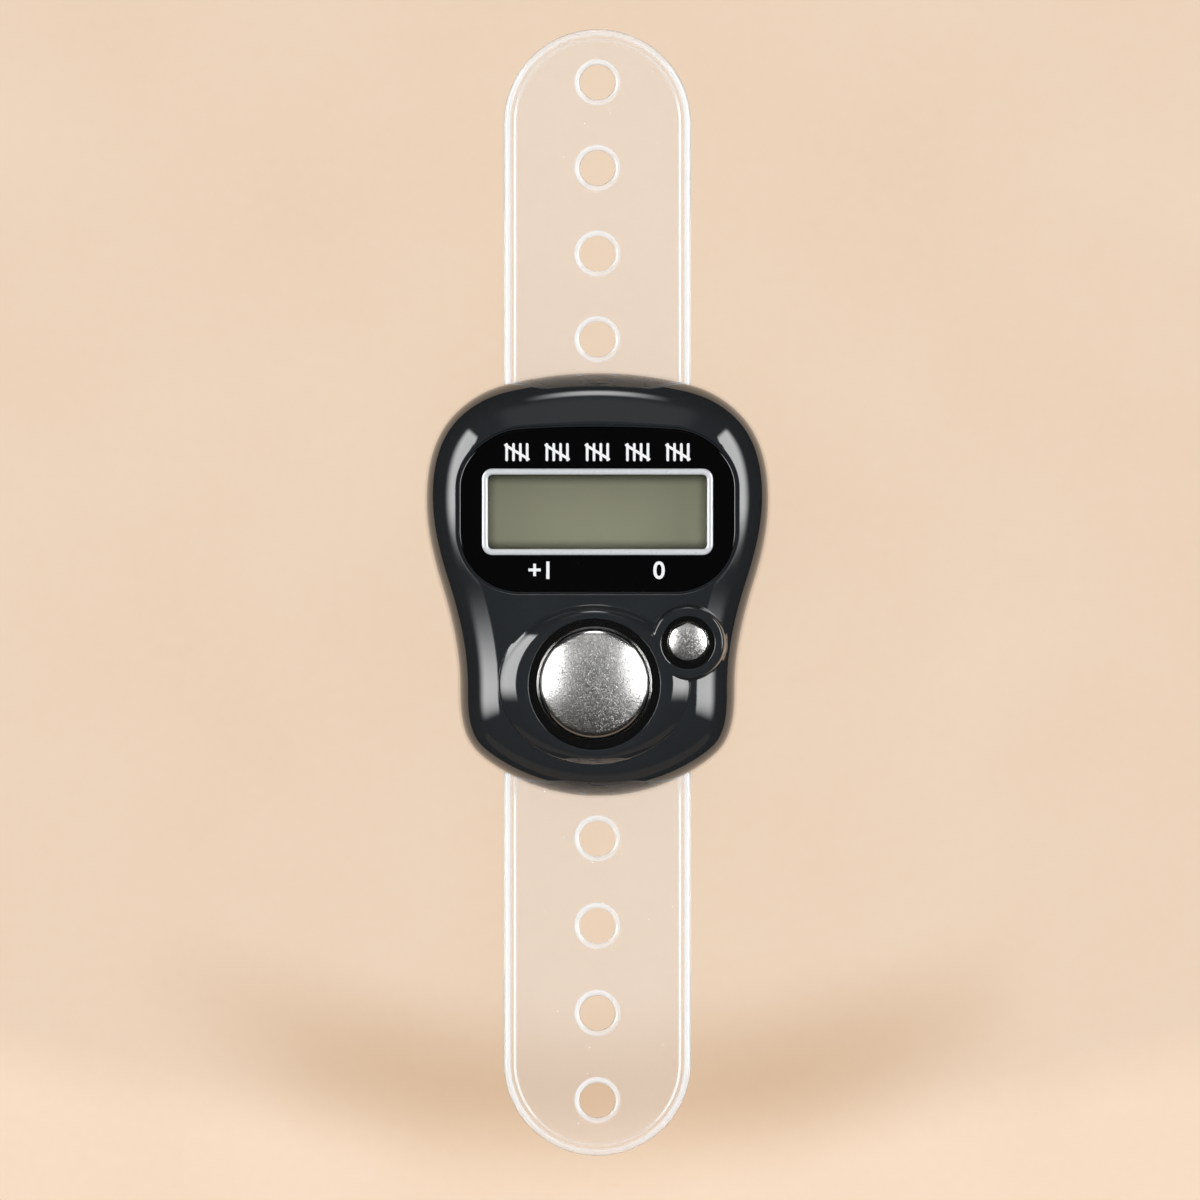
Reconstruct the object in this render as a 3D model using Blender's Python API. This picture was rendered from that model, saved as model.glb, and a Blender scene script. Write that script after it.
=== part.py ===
"""Digital finger tally counter on a clear perforated strap.

The counter lies on its back: +Z is the front with the display and the buttons, +Y is the display's end
and the strap's length. The origin is at the middle of the strap in plan, on the surface that the back
rests on. Metres.
"""

import math

import bmesh
import bpy
from mathutils import Vector

# Housing outline: points where it turns, those beside the display given by how far they are past its glass
BODY_TOP = 0.01808
BODY_BOTTOM = -0.01679
SHOULDER = (0.0076, 0.01713)
CORNER_Y = 0.01440
CORNER_PAST_GLASS = 0.00225
WIDEST_Y = 0.00770
WIDEST_PAST_GLASS = 0.00430
WAIST_Y = 0.00075
WAIST_PAST_GLASS = 0.00305
SIDE = (0.01132, -0.00780)
HEEL = (0.01075, -0.01190)
FOOT = (0.00860, -0.01417)
SHOULDER_TURN = 14.5
CORNER_TURN = 49.0
WAIST_TURN = 107.5
HEEL_TURN = 113.0
FOOT_TURN = 146.0
OUTLINE_STEPS = 4

# Housing walls, rounding and joint
WALL = 0.0012
FRONT_ROUND = 0.0056
REAR_ROUND = 0.0028
FLOOR = 0.0009
FRONT_STEPS = 4
REAR_STEPS = 3
SPLIT_ABOVE_FLOOR = 0.0021
LIP_HEIGHT = 0.0007
LIP_THICKNESS = 0.00045

# Clearances
FIT = 0.00015
SIDE_FIT = 0.0003
SCREW_FIT = 0.0001

# Strap and the bridge that holds it
STRAP_WIDTH = 0.0155
STRAP_THICKNESS = 0.0010
STRAP_END = 0.0467
STRAP_EDGE_BEVEL = 0.00025
HOLE_DIAMETER = 0.0028
HOLE_FLARE = 0.0005
HOLE_FLARE_DEPTH = 0.0003
HOLES_PER_END = 4
UPPER_FIRST_HOLE = 0.0210
UPPER_HOLE_PITCH = 0.0071
LOWER_FIRST_HOLE = 0.0204
LOWER_HOLE_PITCH = 0.00723
BRIDGE_THICKNESS = 0.0009
BRIDGE_LENGTH = 0.0160
BRIDGE_MIDDLE = 0.00065
BEND_CLEARANCE = 0.0010

# Cell and contacts
CELL_DIAMETER = 0.0116
CELL_HEIGHT = 0.00305
CELL_MIDDLE = (0.0, -0.0025)
CAN_WALL = 0.0003
GASKET_WALL = 0.0004
CELL_CAP_STEP = 0.0002
CONTACT_THICKNESS = 0.0002
CONTACT_WIDTH = 0.0028
CONTACT_REACH = 0.0085
POCKET_WALL = 0.0009
POCKET_HEIGHT = 0.0022
NOTCH_REACH = 0.0027

# Board and what it carries
BOARD_THICKNESS = 0.0008
BOARD_TOP = 0.0120
BOARD_BOTTOM = -0.0110
CHIP_DIAMETER = 0.0056
CHIP_HEIGHT = 0.0012
CHIP_MIDDLE = (0.0, 0.0085)
CAPACITOR_SIZE = (0.0016, 0.0008, 0.0008)
CAPACITOR_MIDDLE = (-0.0060, 0.0095)
RESISTOR_SIZE = (0.0016, 0.0008, 0.0005)
RESISTOR_MIDDLE = (0.0060, 0.0095)

# Display, from its window to the glass
WINDOW_MIDDLE_Y = 0.00661
VIEW_WIDTH = 0.01796
VIEW_HEIGHT = 0.0061
FRAME_BEAD = 0.0005
FRAME_PROUD = 0.00015
FRAME_CORNER = 0.00085
PANE_THICKNESS = 0.0008
PANE_OVERLAP = 0.0002
GLASS_PAST_SIDES = 0.00082
GLASS_PAST_TOP = 0.00124
GLASS_PAST_BOTTOM = 0.00156
GLASS_LEDGE = 0.0015
GLASS_THICKNESS = 0.00055
FILM_THICKNESS = 0.0002
FILM_INSET = 0.0003
ZEBRA_DEPTH = 0.0012
HOLDER_WALL = 0.0007

# Display panel
BEZEL_PAST_VIEW = 0.00238
BEZEL_TOP = 0.01360
BEZEL_BOTTOM = 0.00004
BEZEL_CORNER = 0.0050
BEZEL_THICKNESS = 0.0010
BEZEL_DROP = 0.0008
BEZEL_EDGE_BEVEL = 0.00015
PAD_MARGIN = 0.0009

# Count button, its mound and its dome
COUNT_MIDDLE = (-0.00025, -0.0075)
COUNT_DIAMETER = 0.00945
COUNT_DOME = 0.0015
COUNT_PROUD = 0.0001
COUNT_GAP = 0.000625
COUNT_TRAVEL = 0.0008
COUNT_PLUNGER_DIAMETER = 0.0044
MOUND_HEIGHT = 0.0011
MOUND_RIM = 0.0004
MOUND_HALF_WIDTH = 0.00785
MOUND_HALF_HEIGHT = 0.0066
MOUND_SKIRT = 0.0005
COUNT_KEY_DIAMETER = 0.0064
COUNT_PILL_DIAMETER = 0.0026

# Reset button, its collar and its dome
RESET_MIDDLE = (0.00742, -0.00410)
RESET_DIAMETER = 0.0034
RESET_DOME = 0.0006
RESET_PROUD = 0.0001
RESET_GAP = 0.00045
RESET_TRAVEL = 0.0006
RESET_PLUNGER_DIAMETER = 0.0022
COLLAR_HEIGHT = 0.0005
COLLAR_RIM = 0.00045
COLLAR_FOOT = 0.00095
COLLAR_SWELL = 0.000375
COLLAR_SWELL_HEIGHT = 0.00035
RESET_KEY_DIAMETER = 0.0036
RESET_PILL_DIAMETER = 0.0012

# What both buttons share
FLANGE_THICKNESS = 0.0008
FLANGE_SEAT_DEPTH = 0.0001
FLANGE_WALL = 0.0002
CAP_EDGE_BEVEL = 0.0002
KEY_FREE_HEIGHT = 0.0022
KEY_BASE_THICKNESS = 0.0005
KEY_WEB_THICKNESS = 0.0004
PILL_THICKNESS = 0.0004
PILL_STOP = 0.0001

# Screws
HOUSING_SCREW_PLACES = ((-0.0063, 0.0139), (0.0063, 0.0139), (-0.0063, -0.0129), (0.0063, -0.0129))
HOUSING_SCREW_DIAMETER = 0.0017
HOUSING_SCREW_LENGTH = 0.0055
HOUSING_HEAD_DIAMETER = 0.0030
HOUSING_HEAD_HEIGHT = 0.0009
HOUSING_SEAT = 0.00105
BOARD_SCREW_PLACES = ((-0.0094, -0.0004), (0.0094, -0.0004), (-0.0083, -0.0096), (0.0083, -0.0096))
BOARD_SCREW_DIAMETER = 0.0013
BOARD_SCREW_LENGTH = 0.0032
BOARD_HEAD_DIAMETER = 0.0022
BOARD_HEAD_HEIGHT = 0.0006
BOSS_WALL = 0.0008
POST_WALL = 0.0005
SLOT_WIDTH = 0.0004
SLOT_DEPTH = 0.0004
HEAD_TOP_SHARE = 0.75
SLOT_REACH_SHARE = 0.6
TIP_SHARE = 1 / 3

# Facets of round pieces
ROUND_LARGE = 40
ROUND_MEDIUM = 24
ROUND_SMALL = 16
CORNER_STEPS = 6
SMALL_CORNER_STEPS = 3
MOUND_STEPS = 4
CAP_STEPS = 5
CHIP_STEPS = 4
LEAF_TIP_STEPS = 8

# A cutter runs this far past what it cuts
PAST = 0.0010

# Heights, stacked from the surface that the back rests on
STRAP_Z = BRIDGE_THICKNESS + FIT
STRAP_MID_Z = STRAP_Z + STRAP_THICKNESS / 2
GROOVE_Z = STRAP_Z + STRAP_THICKNESS + FIT
FLOOR_Z = GROOVE_Z + FLOOR
SPLIT_Z = FLOOR_Z + SPLIT_ABOVE_FLOOR
CELL_Z = FLOOR_Z + FIT
CONTACT_Z = CELL_Z + CELL_HEIGHT + FIT
BOARD_Z = CONTACT_Z + CONTACT_THICKNESS + FIT
BOARD_TOP_Z = BOARD_Z + BOARD_THICKNESS
REFLECTOR_Z = BOARD_TOP_Z + FIT
REAR_GLASS_Z = REFLECTOR_Z + FILM_THICKNESS + FIT
FRONT_GLASS_Z = REAR_GLASS_Z + GLASS_THICKNESS + FIT
POLARISER_Z = FRONT_GLASS_Z + GLASS_THICKNESS + FIT
PANE_Z = POLARISER_Z + FILM_THICKNESS + FIT
BEZEL_Z = PANE_Z + PANE_THICKNESS + FIT
FACE_Z = BEZEL_Z + BEZEL_THICKNESS + BEZEL_DROP
ROOF_Z = FACE_Z - WALL
ROUND_Z = FACE_Z - FRONT_ROUND
FLANGE_SEAT_Z = ROOF_Z + FLANGE_SEAT_DEPTH
FLANGE_TOP_Z = FLANGE_SEAT_Z - FIT
FLANGE_Z = FLANGE_TOP_Z - FLANGE_THICKNESS
SEAT_Z = GROOVE_Z + HOUSING_SEAT

# The buttons' holes, and flanges that share the room between them
COUNT_HOLE = COUNT_DIAMETER / 2 + COUNT_GAP
RESET_HOLE = RESET_DIAMETER / 2 + RESET_GAP
FLANGE = (math.dist(COUNT_MIDDLE, RESET_MIDDLE) - COUNT_HOLE - RESET_HOLE - FLANGE_WALL) / 2 - FIT

# The display glass reaches past the window on every side
GLASS_HALF = VIEW_WIDTH / 2 + GLASS_PAST_SIDES
GLASS_TOP = WINDOW_MIDDLE_Y + VIEW_HEIGHT / 2 + GLASS_PAST_TOP
GLASS_BOTTOM = WINDOW_MIDDLE_Y - VIEW_HEIGHT / 2 - GLASS_PAST_BOTTOM

BEZEL_WIDTH = VIEW_WIDTH + 2 * BEZEL_PAST_VIEW

# The housing is drawn round the display
CORNER = (GLASS_HALF + CORNER_PAST_GLASS, CORNER_Y)
WIDEST = (GLASS_HALF + WIDEST_PAST_GLASS, WIDEST_Y)
WAIST = (GLASS_HALF + WAIST_PAST_GLASS, WAIST_Y)

# The strap bends just beyond the bridge's ends
UPPER_HINGE_Y = BRIDGE_MIDDLE + BRIDGE_LENGTH / 2 + BEND_CLEARANCE
LOWER_HINGE_Y = BRIDGE_MIDDLE - BRIDGE_LENGTH / 2 - BEND_CLEARANCE


def clear_scene():
    for obj in list(bpy.data.objects):
        bpy.data.objects.remove(obj, do_unlink=True)


def material(name, colour, roughness, metallic=0.0, transmission=0.0):
    made = bpy.data.materials.new(name)
    made.use_nodes = True
    shader = made.node_tree.nodes["Principled BSDF"]
    shader.inputs["Base Color"].default_value = (*colour, 1.0)
    shader.inputs["Roughness"].default_value = roughness
    shader.inputs["Metallic"].default_value = metallic
    shader.inputs["Transmission Weight"].default_value = transmission
    made.diffuse_color = (*colour, 1.0)
    made.roughness = roughness
    made.metallic = metallic
    return made


def add_object(name, bm, look=None, origin=(0.0, 0.0, 0.0)):
    """The mesh as an object whose origin is at the given point. Points are drawn in the assembly's frame."""
    bmesh.ops.recalc_face_normals(bm, faces=bm.faces)
    bmesh.ops.translate(bm, vec=-Vector(origin), verts=bm.verts)
    mesh = bpy.data.meshes.new(name)
    bm.to_mesh(mesh)
    bm.free()
    mesh.shade_smooth()
    mesh.set_sharp_from_angle(angle=math.radians(35))
    obj = bpy.data.objects.new(name, mesh)
    obj.location = origin
    bpy.context.scene.collection.objects.link(obj)
    if look:
        mesh.materials.append(look)
    return obj


def cutter(name, bm):
    obj = add_object(name, bm)
    obj.hide_render = True
    obj.display_type = "WIRE"
    return obj


def combine(obj, other, operation):
    step = obj.modifiers.new(other.name, "BOOLEAN")
    step.operation = operation
    step.object = other
    step.solver = "EXACT"


def cut(obj, *tools):
    for tool in tools:
        combine(obj, tool, "DIFFERENCE")


def join(obj, *others):
    for other in others:
        combine(obj, other, "UNION")


def soften(obj, width, segments=1, angle=40):
    step = obj.modifiers.new("soft edges", "BEVEL")
    step.width = width
    step.segments = segments
    step.limit_method = "ANGLE"
    step.angle_limit = math.radians(angle)


def together(meshes):
    """Several shapes that don't meet, as one mesh."""
    whole = bmesh.new()
    for bm in meshes:
        bmesh.ops.recalc_face_normals(bm, faces=bm.faces)
        mesh = bpy.data.meshes.new("piece")
        bm.to_mesh(mesh)
        bm.free()
        whole.from_mesh(mesh)
        bpy.data.meshes.remove(mesh)
    return whole


def skin(rings):
    """A closed solid through rings of equally many points, from the lowest ring to the highest."""
    bm = bmesh.new()
    loops = [[bm.verts.new(point) for point in ring] for ring in rings]
    for low, high in zip(loops, loops[1:]):
        for i in range(len(low)):
            j = (i + 1) % len(low)
            bm.faces.new((low[i], low[j], high[j], high[i]))
    bm.faces.new(loops[0][::-1])
    bm.faces.new(loops[-1])
    return bm


def prism(points, low, high):
    """A flat outline drawn out from one height to another."""
    bm = bmesh.new()
    face = bm.faces.new([bm.verts.new((x, y, low)) for x, y in points])
    drawn = bmesh.ops.extrude_face_region(bm, geom=[face])["geom"]
    raised = [v for v in drawn if isinstance(v, bmesh.types.BMVert)]
    bmesh.ops.translate(bm, vec=(0.0, 0.0, high - low), verts=raised)
    return bm


def turned(profile, middle, steps, closed=False):
    """A profile of (radius, height) points turned about an upright axis. A closed profile makes a ring."""
    bm = bmesh.new()
    points = [bm.verts.new((radius, 0.0, height)) for radius, height in profile]
    pairs = list(zip(points, points[1:]))
    if closed:
        pairs.append((points[-1], points[0]))
    edges = [bm.edges.new(pair) for pair in pairs]
    bmesh.ops.spin(
        bm, geom=points + edges, cent=(0, 0, 0), axis=(0, 0, 1), angle=math.tau, steps=steps, use_merge=True
    )
    bmesh.ops.remove_doubles(bm, verts=bm.verts, dist=1e-7)
    bmesh.ops.translate(bm, vec=(*middle, 0.0), verts=bm.verts)
    return bm


def cylinder(middle, diameter, low, high, steps=ROUND_SMALL):
    radius = diameter / 2
    return turned([(0, low), (radius, low), (radius, high), (0, high)], middle, steps)


def block(x_range, y_range, z_range):
    points = [(x_range[i], y_range[j]) for i, j in ((0, 0), (1, 0), (1, 1), (0, 1))]
    return prism(points, *z_range)


def rounded(x_range, y_range, radius, steps):
    """A rectangle's outline with round corners, anticlockwise from its lower right corner."""
    low_x, high_x = x_range
    low_y, high_y = y_range
    corners = (
        (high_x - radius, low_y + radius, -90),
        (high_x - radius, high_y - radius, 0),
        (low_x + radius, high_y - radius, 90),
        (low_x + radius, low_y + radius, 180),
    )
    points = []
    for x, y, start in corners:
        for i in range(steps + 1):
            turn = math.radians(start + 90 * i / steps)
            points.append((x + radius * math.cos(turn), y + radius * math.sin(turn)))
    return points


def outline(inset=0.0):
    """The housing's outline drawn in by a distance, anticlockwise from its top.

    The right half goes from the top to the bottom through knots (x, y, turn in degrees from +X), each moved
    inwards square to the outline. The stretches between them are cubic curves that match a circle's arc.
    """
    knots = (
        (0.0, BODY_TOP, 0.0),
        (*SHOULDER, SHOULDER_TURN),
        (*CORNER, CORNER_TURN),
        (*WIDEST, 90.0),
        (*WAIST, WAIST_TURN),
        (*SIDE, 90.0),
        (*HEEL, HEEL_TURN),
        (*FOOT, FOOT_TURN),
        (0.0, BODY_BOTTOM, 180.0),
    )
    half = []
    for (ax, ay, a_turn), (bx, by, b_turn) in zip(knots, knots[1:]):
        a_dir = Vector((math.cos(math.radians(a_turn)), -math.sin(math.radians(a_turn))))
        b_dir = Vector((math.cos(math.radians(b_turn)), -math.sin(math.radians(b_turn))))
        start = Vector((ax, ay)) + inset * Vector((a_dir.y, -a_dir.x))
        end = Vector((bx, by)) + inset * Vector((b_dir.y, -b_dir.x))
        bend = math.radians(abs(b_turn - a_turn))
        reach = (end - start).length * 2 / 3 * math.tan(bend / 4) / math.sin(bend / 2)
        handles = (start, start + reach * a_dir, end - reach * b_dir, end)
        for i in range(OUTLINE_STEPS):
            t = i / OUTLINE_STEPS
            shares = ((1 - t) ** 3, 3 * (1 - t) ** 2 * t, 3 * (1 - t) * t**2, t**3)
            point = sum((share * handle for share, handle in zip(shares, handles)), Vector((0.0, 0.0)))
            half.append((point.x, point.y))
    half.append((0.0, BODY_BOTTOM + inset))
    left = [(-x, y) for x, y in half[1:]]
    right = half[-2:0:-1]
    return [half[0], *left, *right]


def level(points, height):
    return [(x, y, height) for x, y in points]


def rounded_rings(start_z, radius, steps, inset=0.0):
    """Rings of a quarter round that rises from start_z and draws the outline in by its radius."""
    rings = []
    for i in range(steps + 1):
        turn = math.radians(90 * i / steps)
        rings.append(level(outline(inset + radius * (1 - math.cos(turn))), start_z + radius * math.sin(turn)))
    return rings


def strap_hole(y):
    """A hole in the strap, flared at both faces."""
    radius = HOLE_DIAMETER / 2
    low, high = STRAP_Z, STRAP_Z + STRAP_THICKNESS
    profile = [
        (0, low - PAST),
        (radius + HOLE_FLARE, low - PAST),
        (radius + HOLE_FLARE, low),
        (radius, low + HOLE_FLARE_DEPTH),
        (radius, high - HOLE_FLARE_DEPTH),
        (radius + HOLE_FLARE, high),
        (radius + HOLE_FLARE, high + PAST),
        (0, high + PAST),
    ]
    return turned(profile, (0.0, y), ROUND_SMALL)


def strap_end(name, look, side, hinge_y, first_hole, pitch):
    """One free end of the strap. Its origin is on the axis that it bends about, at the bridge's edge."""
    half = STRAP_WIDTH / 2
    centre = STRAP_END - half
    points = [(half * side, hinge_y), (half * side, side * centre)]
    arc_steps = ROUND_MEDIUM // 2
    for i in range(1, arc_steps):
        turn = math.pi * i / arc_steps
        points.append((half * side * math.cos(turn), side * (centre + half * math.sin(turn))))
    points += [(-half * side, side * centre), (-half * side, hinge_y)]
    body = prism(points, STRAP_Z, STRAP_Z + STRAP_THICKNESS)
    obj = add_object(name, body, look, (0.0, hinge_y, STRAP_MID_Z))
    soften(obj, STRAP_EDGE_BEVEL, angle=60)
    holes = [strap_hole(side * (first_hole + pitch * i)) for i in range(HOLES_PER_END)]
    cut(obj, cutter(f"{name} holes", together(holes)))
    return obj


def strap_middle(look):
    half = STRAP_WIDTH / 2
    away = STRAP_THICKNESS / 2 + FIT
    ends = (LOWER_HINGE_Y + away, UPPER_HINGE_Y - away)
    return add_object("strap_middle", block((-half, half), ends, (STRAP_Z, STRAP_Z + STRAP_THICKNESS)), look)


def rear_housing(look):
    """The rear shell: a groove for the strap under a bridge, a pocket for the cell and four screw bosses."""
    lower = [
        level(outline(REAR_ROUND * (1 - math.cos(turn))), REAR_ROUND * (1 - math.sin(turn)))
        for turn in (math.radians(90 * i / REAR_STEPS) for i in range(REAR_STEPS, -1, -1))
    ]
    shell = add_object("rear_housing", skin([*lower, level(outline(), SPLIT_Z)]), look)

    hollow = cutter("rear hollow", prism(outline(WALL), FLOOR_Z, SPLIT_Z + PAST))
    pocket_diameter = CELL_DIAMETER + 2 * FIT
    ring_top = FLOOR_Z + POCKET_HEIGHT
    cut(
        hollow,
        cutter(
            "pocket wall",
            cylinder(CELL_MIDDLE, pocket_diameter + 2 * POCKET_WALL, FLOOR_Z - PAST, ring_top, ROUND_LARGE),
        ),
    )
    boss = HOUSING_HEAD_DIAMETER + 2 * BOSS_WALL
    bosses = [cylinder(place, boss, FLOOR_Z - PAST, SPLIT_Z - 2 * FIT) for place in HOUSING_SCREW_PLACES]
    cut(hollow, cutter("rear bosses", together(bosses)))
    cut(shell, hollow)

    bore = cylinder(CELL_MIDDLE, pocket_diameter, FLOOR_Z, SPLIT_Z, ROUND_LARGE)
    cut(shell, cutter("cell pocket", bore))
    notch_x = (CELL_MIDDLE[0] + CELL_DIAMETER / 2 - FIT, CELL_MIDDLE[0] + CELL_DIAMETER / 2 + NOTCH_REACH)
    notch_y = [CELL_MIDDLE[1] + side * (CONTACT_WIDTH / 2 + SIDE_FIT) for side in (-1, 1)]
    cut(shell, cutter("contact notch", block(notch_x, notch_y, (FLOOR_Z + FIT, SPLIT_Z))))

    rebate = prism(outline(WALL - LIP_THICKNESS - FIT), SPLIT_Z - LIP_HEIGHT - FIT, SPLIT_Z + PAST)
    cut(shell, cutter("lip rebate", rebate))
    cut(shell, groove_cutter())

    head = HOUSING_HEAD_DIAMETER / 2 + FIT
    shank = HOUSING_SCREW_DIAMETER / 2 + SCREW_FIT
    profile = [
        (0, GROOVE_Z - PAST),
        (head, GROOVE_Z - PAST),
        (head, SEAT_Z),
        (shank, SEAT_Z),
        (shank, SPLIT_Z),
        (0, SPLIT_Z),
    ]
    holes = [turned(profile, place, ROUND_SMALL) for place in HOUSING_SCREW_PLACES]
    cut(shell, cutter("rear screw holes", together(holes)))
    return shell


def groove_cutter():
    """The strap's groove, open at the back but for the bridge."""
    low, high = BRIDGE_MIDDLE - BRIDGE_LENGTH / 2, BRIDGE_MIDDLE + BRIDGE_LENGTH / 2
    far = BODY_TOP + PAST
    profile = (
        (-far, -PAST),
        (low, -PAST),
        (low, BRIDGE_THICKNESS),
        (high, BRIDGE_THICKNESS),
        (high, -PAST),
        (far, -PAST),
        (far, GROOVE_Z),
        (-far, GROOVE_Z),
    )
    half = STRAP_WIDTH / 2 + SIDE_FIT
    bm = bmesh.new()
    face = bm.faces.new([bm.verts.new((-half, y, z)) for y, z in profile])
    drawn = bmesh.ops.extrude_face_region(bm, geom=[face])["geom"]
    moved = [v for v in drawn if isinstance(v, bmesh.types.BMVert)]
    bmesh.ops.translate(bm, vec=(2 * half, 0.0, 0.0), verts=moved)
    return cutter("strap groove", bm)


def ellipse(middle, half_width, half_height, height):
    ring = []
    for i in range(ROUND_LARGE):
        turn = math.tau * i / ROUND_LARGE
        x = middle[0] + half_width * math.cos(turn)
        y = middle[1] + half_height * math.sin(turn)
        ring.append((x, y, height))
    return ring


def mound():
    """The swelling round the count button, convex from its oval foot to the rim of the button's hole."""
    rim = COUNT_HOLE + MOUND_RIM
    foot_z = FACE_Z - MOUND_SKIRT
    rise = MOUND_HEIGHT + MOUND_SKIRT
    rings = [ellipse(COUNT_MIDDLE, MOUND_HALF_WIDTH, MOUND_HALF_HEIGHT, ROUND_Z)]
    for i in range(MOUND_STEPS + 1):
        turn = math.radians(90 * i / MOUND_STEPS)
        share = 1 - math.cos(turn)
        wide = MOUND_HALF_WIDTH + share * (rim - MOUND_HALF_WIDTH)
        tall = MOUND_HALF_HEIGHT + share * (rim - MOUND_HALF_HEIGHT)
        rings.append(ellipse(COUNT_MIDDLE, wide, tall, foot_z + rise * math.sin(turn)))
    return cutter("count mound", skin(rings))


def collar():
    """The raised ring round the reset button, which goes down as the button's guide."""
    crest = RESET_HOLE + COLLAR_RIM
    foot = RESET_HOLE + COLLAR_FOOT
    profile = [
        (0, ROUND_Z),
        (foot, ROUND_Z),
        (foot, FACE_Z),
        (crest + COLLAR_SWELL, FACE_Z + COLLAR_SWELL_HEIGHT),
        (crest, FACE_Z + COLLAR_HEIGHT),
        (0, FACE_Z + COLLAR_HEIGHT),
    ]
    return cutter("reset collar", turned(profile, RESET_MIDDLE, ROUND_MEDIUM))


def front_housing(look):
    """The front shell: rounded rim, recess for the display panel, mound, collar, guides, bosses and posts."""
    start = SPLIT_Z + FIT
    rings = [level(outline(), start), *rounded_rings(ROUND_Z, FRONT_ROUND, FRONT_STEPS)]
    shell = add_object("front_housing", skin(rings), look)
    lip_top = SPLIT_Z + LIP_HEIGHT
    lip = prism(outline(WALL - LIP_THICKNESS), SPLIT_Z - LIP_HEIGHT, lip_top)
    join(shell, cutter("lip", lip), mound(), collar())

    inner_round = FRONT_ROUND - WALL
    hollow_rings = [
        level(outline(WALL), SPLIT_Z - LIP_HEIGHT - PAST),
        *rounded_rings(ROUND_Z, inner_round, FRONT_STEPS, WALL),
    ]
    hollow = cutter("front hollow", skin(hollow_rings))
    bezel_x = BEZEL_WIDTH / 2 + FIT
    pad_x = bezel_x + PAD_MARGIN
    pad_y = (BEZEL_BOTTOM - FIT - PAD_MARGIN, BEZEL_TOP + FIT + PAD_MARGIN)
    pad = rounded((-pad_x, pad_x), pad_y, BEZEL_CORNER + PAD_MARGIN, CORNER_STEPS)
    cut(hollow, cutter("display pad", prism(pad, PANE_Z, FACE_Z)))
    boss = HOUSING_SCREW_DIAMETER + 2 * BOSS_WALL
    post = BOARD_SCREW_DIAMETER + 2 * POST_WALL
    guide = 2 * (RESET_HOLE + COLLAR_FOOT - FIT)
    kept = [cylinder(place, boss, SPLIT_Z - FIT, FACE_Z) for place in HOUSING_SCREW_PLACES]
    kept += [cylinder(place, post, BOARD_TOP_Z + FIT, FACE_Z) for place in BOARD_SCREW_PLACES]
    kept.append(cylinder(RESET_MIDDLE, guide, FLANGE_Z - RESET_TRAVEL - FIT, FACE_Z, ROUND_MEDIUM))
    cut(hollow, cutter("bosses, posts and guide", together(kept)))
    cut(shell, hollow)

    bezel_y = (BEZEL_BOTTOM - FIT, BEZEL_TOP + FIT)
    recess = rounded((-bezel_x, bezel_x), bezel_y, BEZEL_CORNER + FIT, CORNER_STEPS)
    cut(shell, cutter("panel recess", prism(recess, BEZEL_Z - FIT, FACE_Z + PAST)))
    view_x, view_y = window_ranges(PANE_OVERLAP + FIT)
    opening = block(view_x, view_y, (PANE_Z - PAST, BEZEL_Z + PAST))
    cut(shell, cutter("display opening", opening))

    holes = [
        button_hole(COUNT_MIDDLE, COUNT_HOLE, COUNT_TRAVEL, ROUND_LARGE),
        button_hole(RESET_MIDDLE, RESET_HOLE, RESET_TRAVEL, ROUND_MEDIUM),
    ]
    boss_bore = HOUSING_SCREW_DIAMETER + 2 * SCREW_FIT
    boss_top = SEAT_Z - SCREW_FIT + HOUSING_SCREW_LENGTH + FIT
    holes += [cylinder(place, boss_bore, SPLIT_Z - PAST, boss_top) for place in HOUSING_SCREW_PLACES]
    post_bore = BOARD_SCREW_DIAMETER + 2 * SCREW_FIT
    post_top = BOARD_Z - SCREW_FIT + BOARD_SCREW_LENGTH + FIT
    holes += [cylinder(place, post_bore, BOARD_Z, post_top) for place in BOARD_SCREW_PLACES]
    cut(shell, cutter("button holes and screw bores", together(holes)))
    return shell


def button_hole(middle, hole, travel, steps):
    """A hole for a button, wider behind the wall for its flange."""
    wide = hole + FLANGE + FIT
    profile = [
        (0, FLANGE_Z - travel - FIT - PAST),
        (wide, FLANGE_Z - travel - FIT - PAST),
        (wide, FLANGE_SEAT_Z),
        (hole, FLANGE_SEAT_Z),
        (hole, FACE_Z + MOUND_HEIGHT + PAST),
        (0, FACE_Z + MOUND_HEIGHT + PAST),
    ]
    return turned(profile, middle, steps)


def window_ranges(margin):
    """The window's ranges in x and y, drawn out by a margin."""
    x = VIEW_WIDTH / 2 + margin
    y = VIEW_HEIGHT / 2 + margin
    return (-x, x), (WINDOW_MIDDLE_Y - y, WINDOW_MIDDLE_Y + y)


def display_bezel(look):
    half = BEZEL_WIDTH / 2
    points = rounded((-half, half), (BEZEL_BOTTOM, BEZEL_TOP), BEZEL_CORNER, CORNER_STEPS)
    obj = add_object("display_bezel", prism(points, BEZEL_Z, BEZEL_Z + BEZEL_THICKNESS), look)
    soften(obj, BEZEL_EDGE_BEVEL, angle=60)
    points = rounded(*window_ranges(FRAME_BEAD + FIT), FRAME_CORNER + FIT, SMALL_CORNER_STEPS)
    cut(obj, cutter("frame opening", prism(points, BEZEL_Z - PAST, BEZEL_Z + BEZEL_THICKNESS + PAST)))
    return obj


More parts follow.
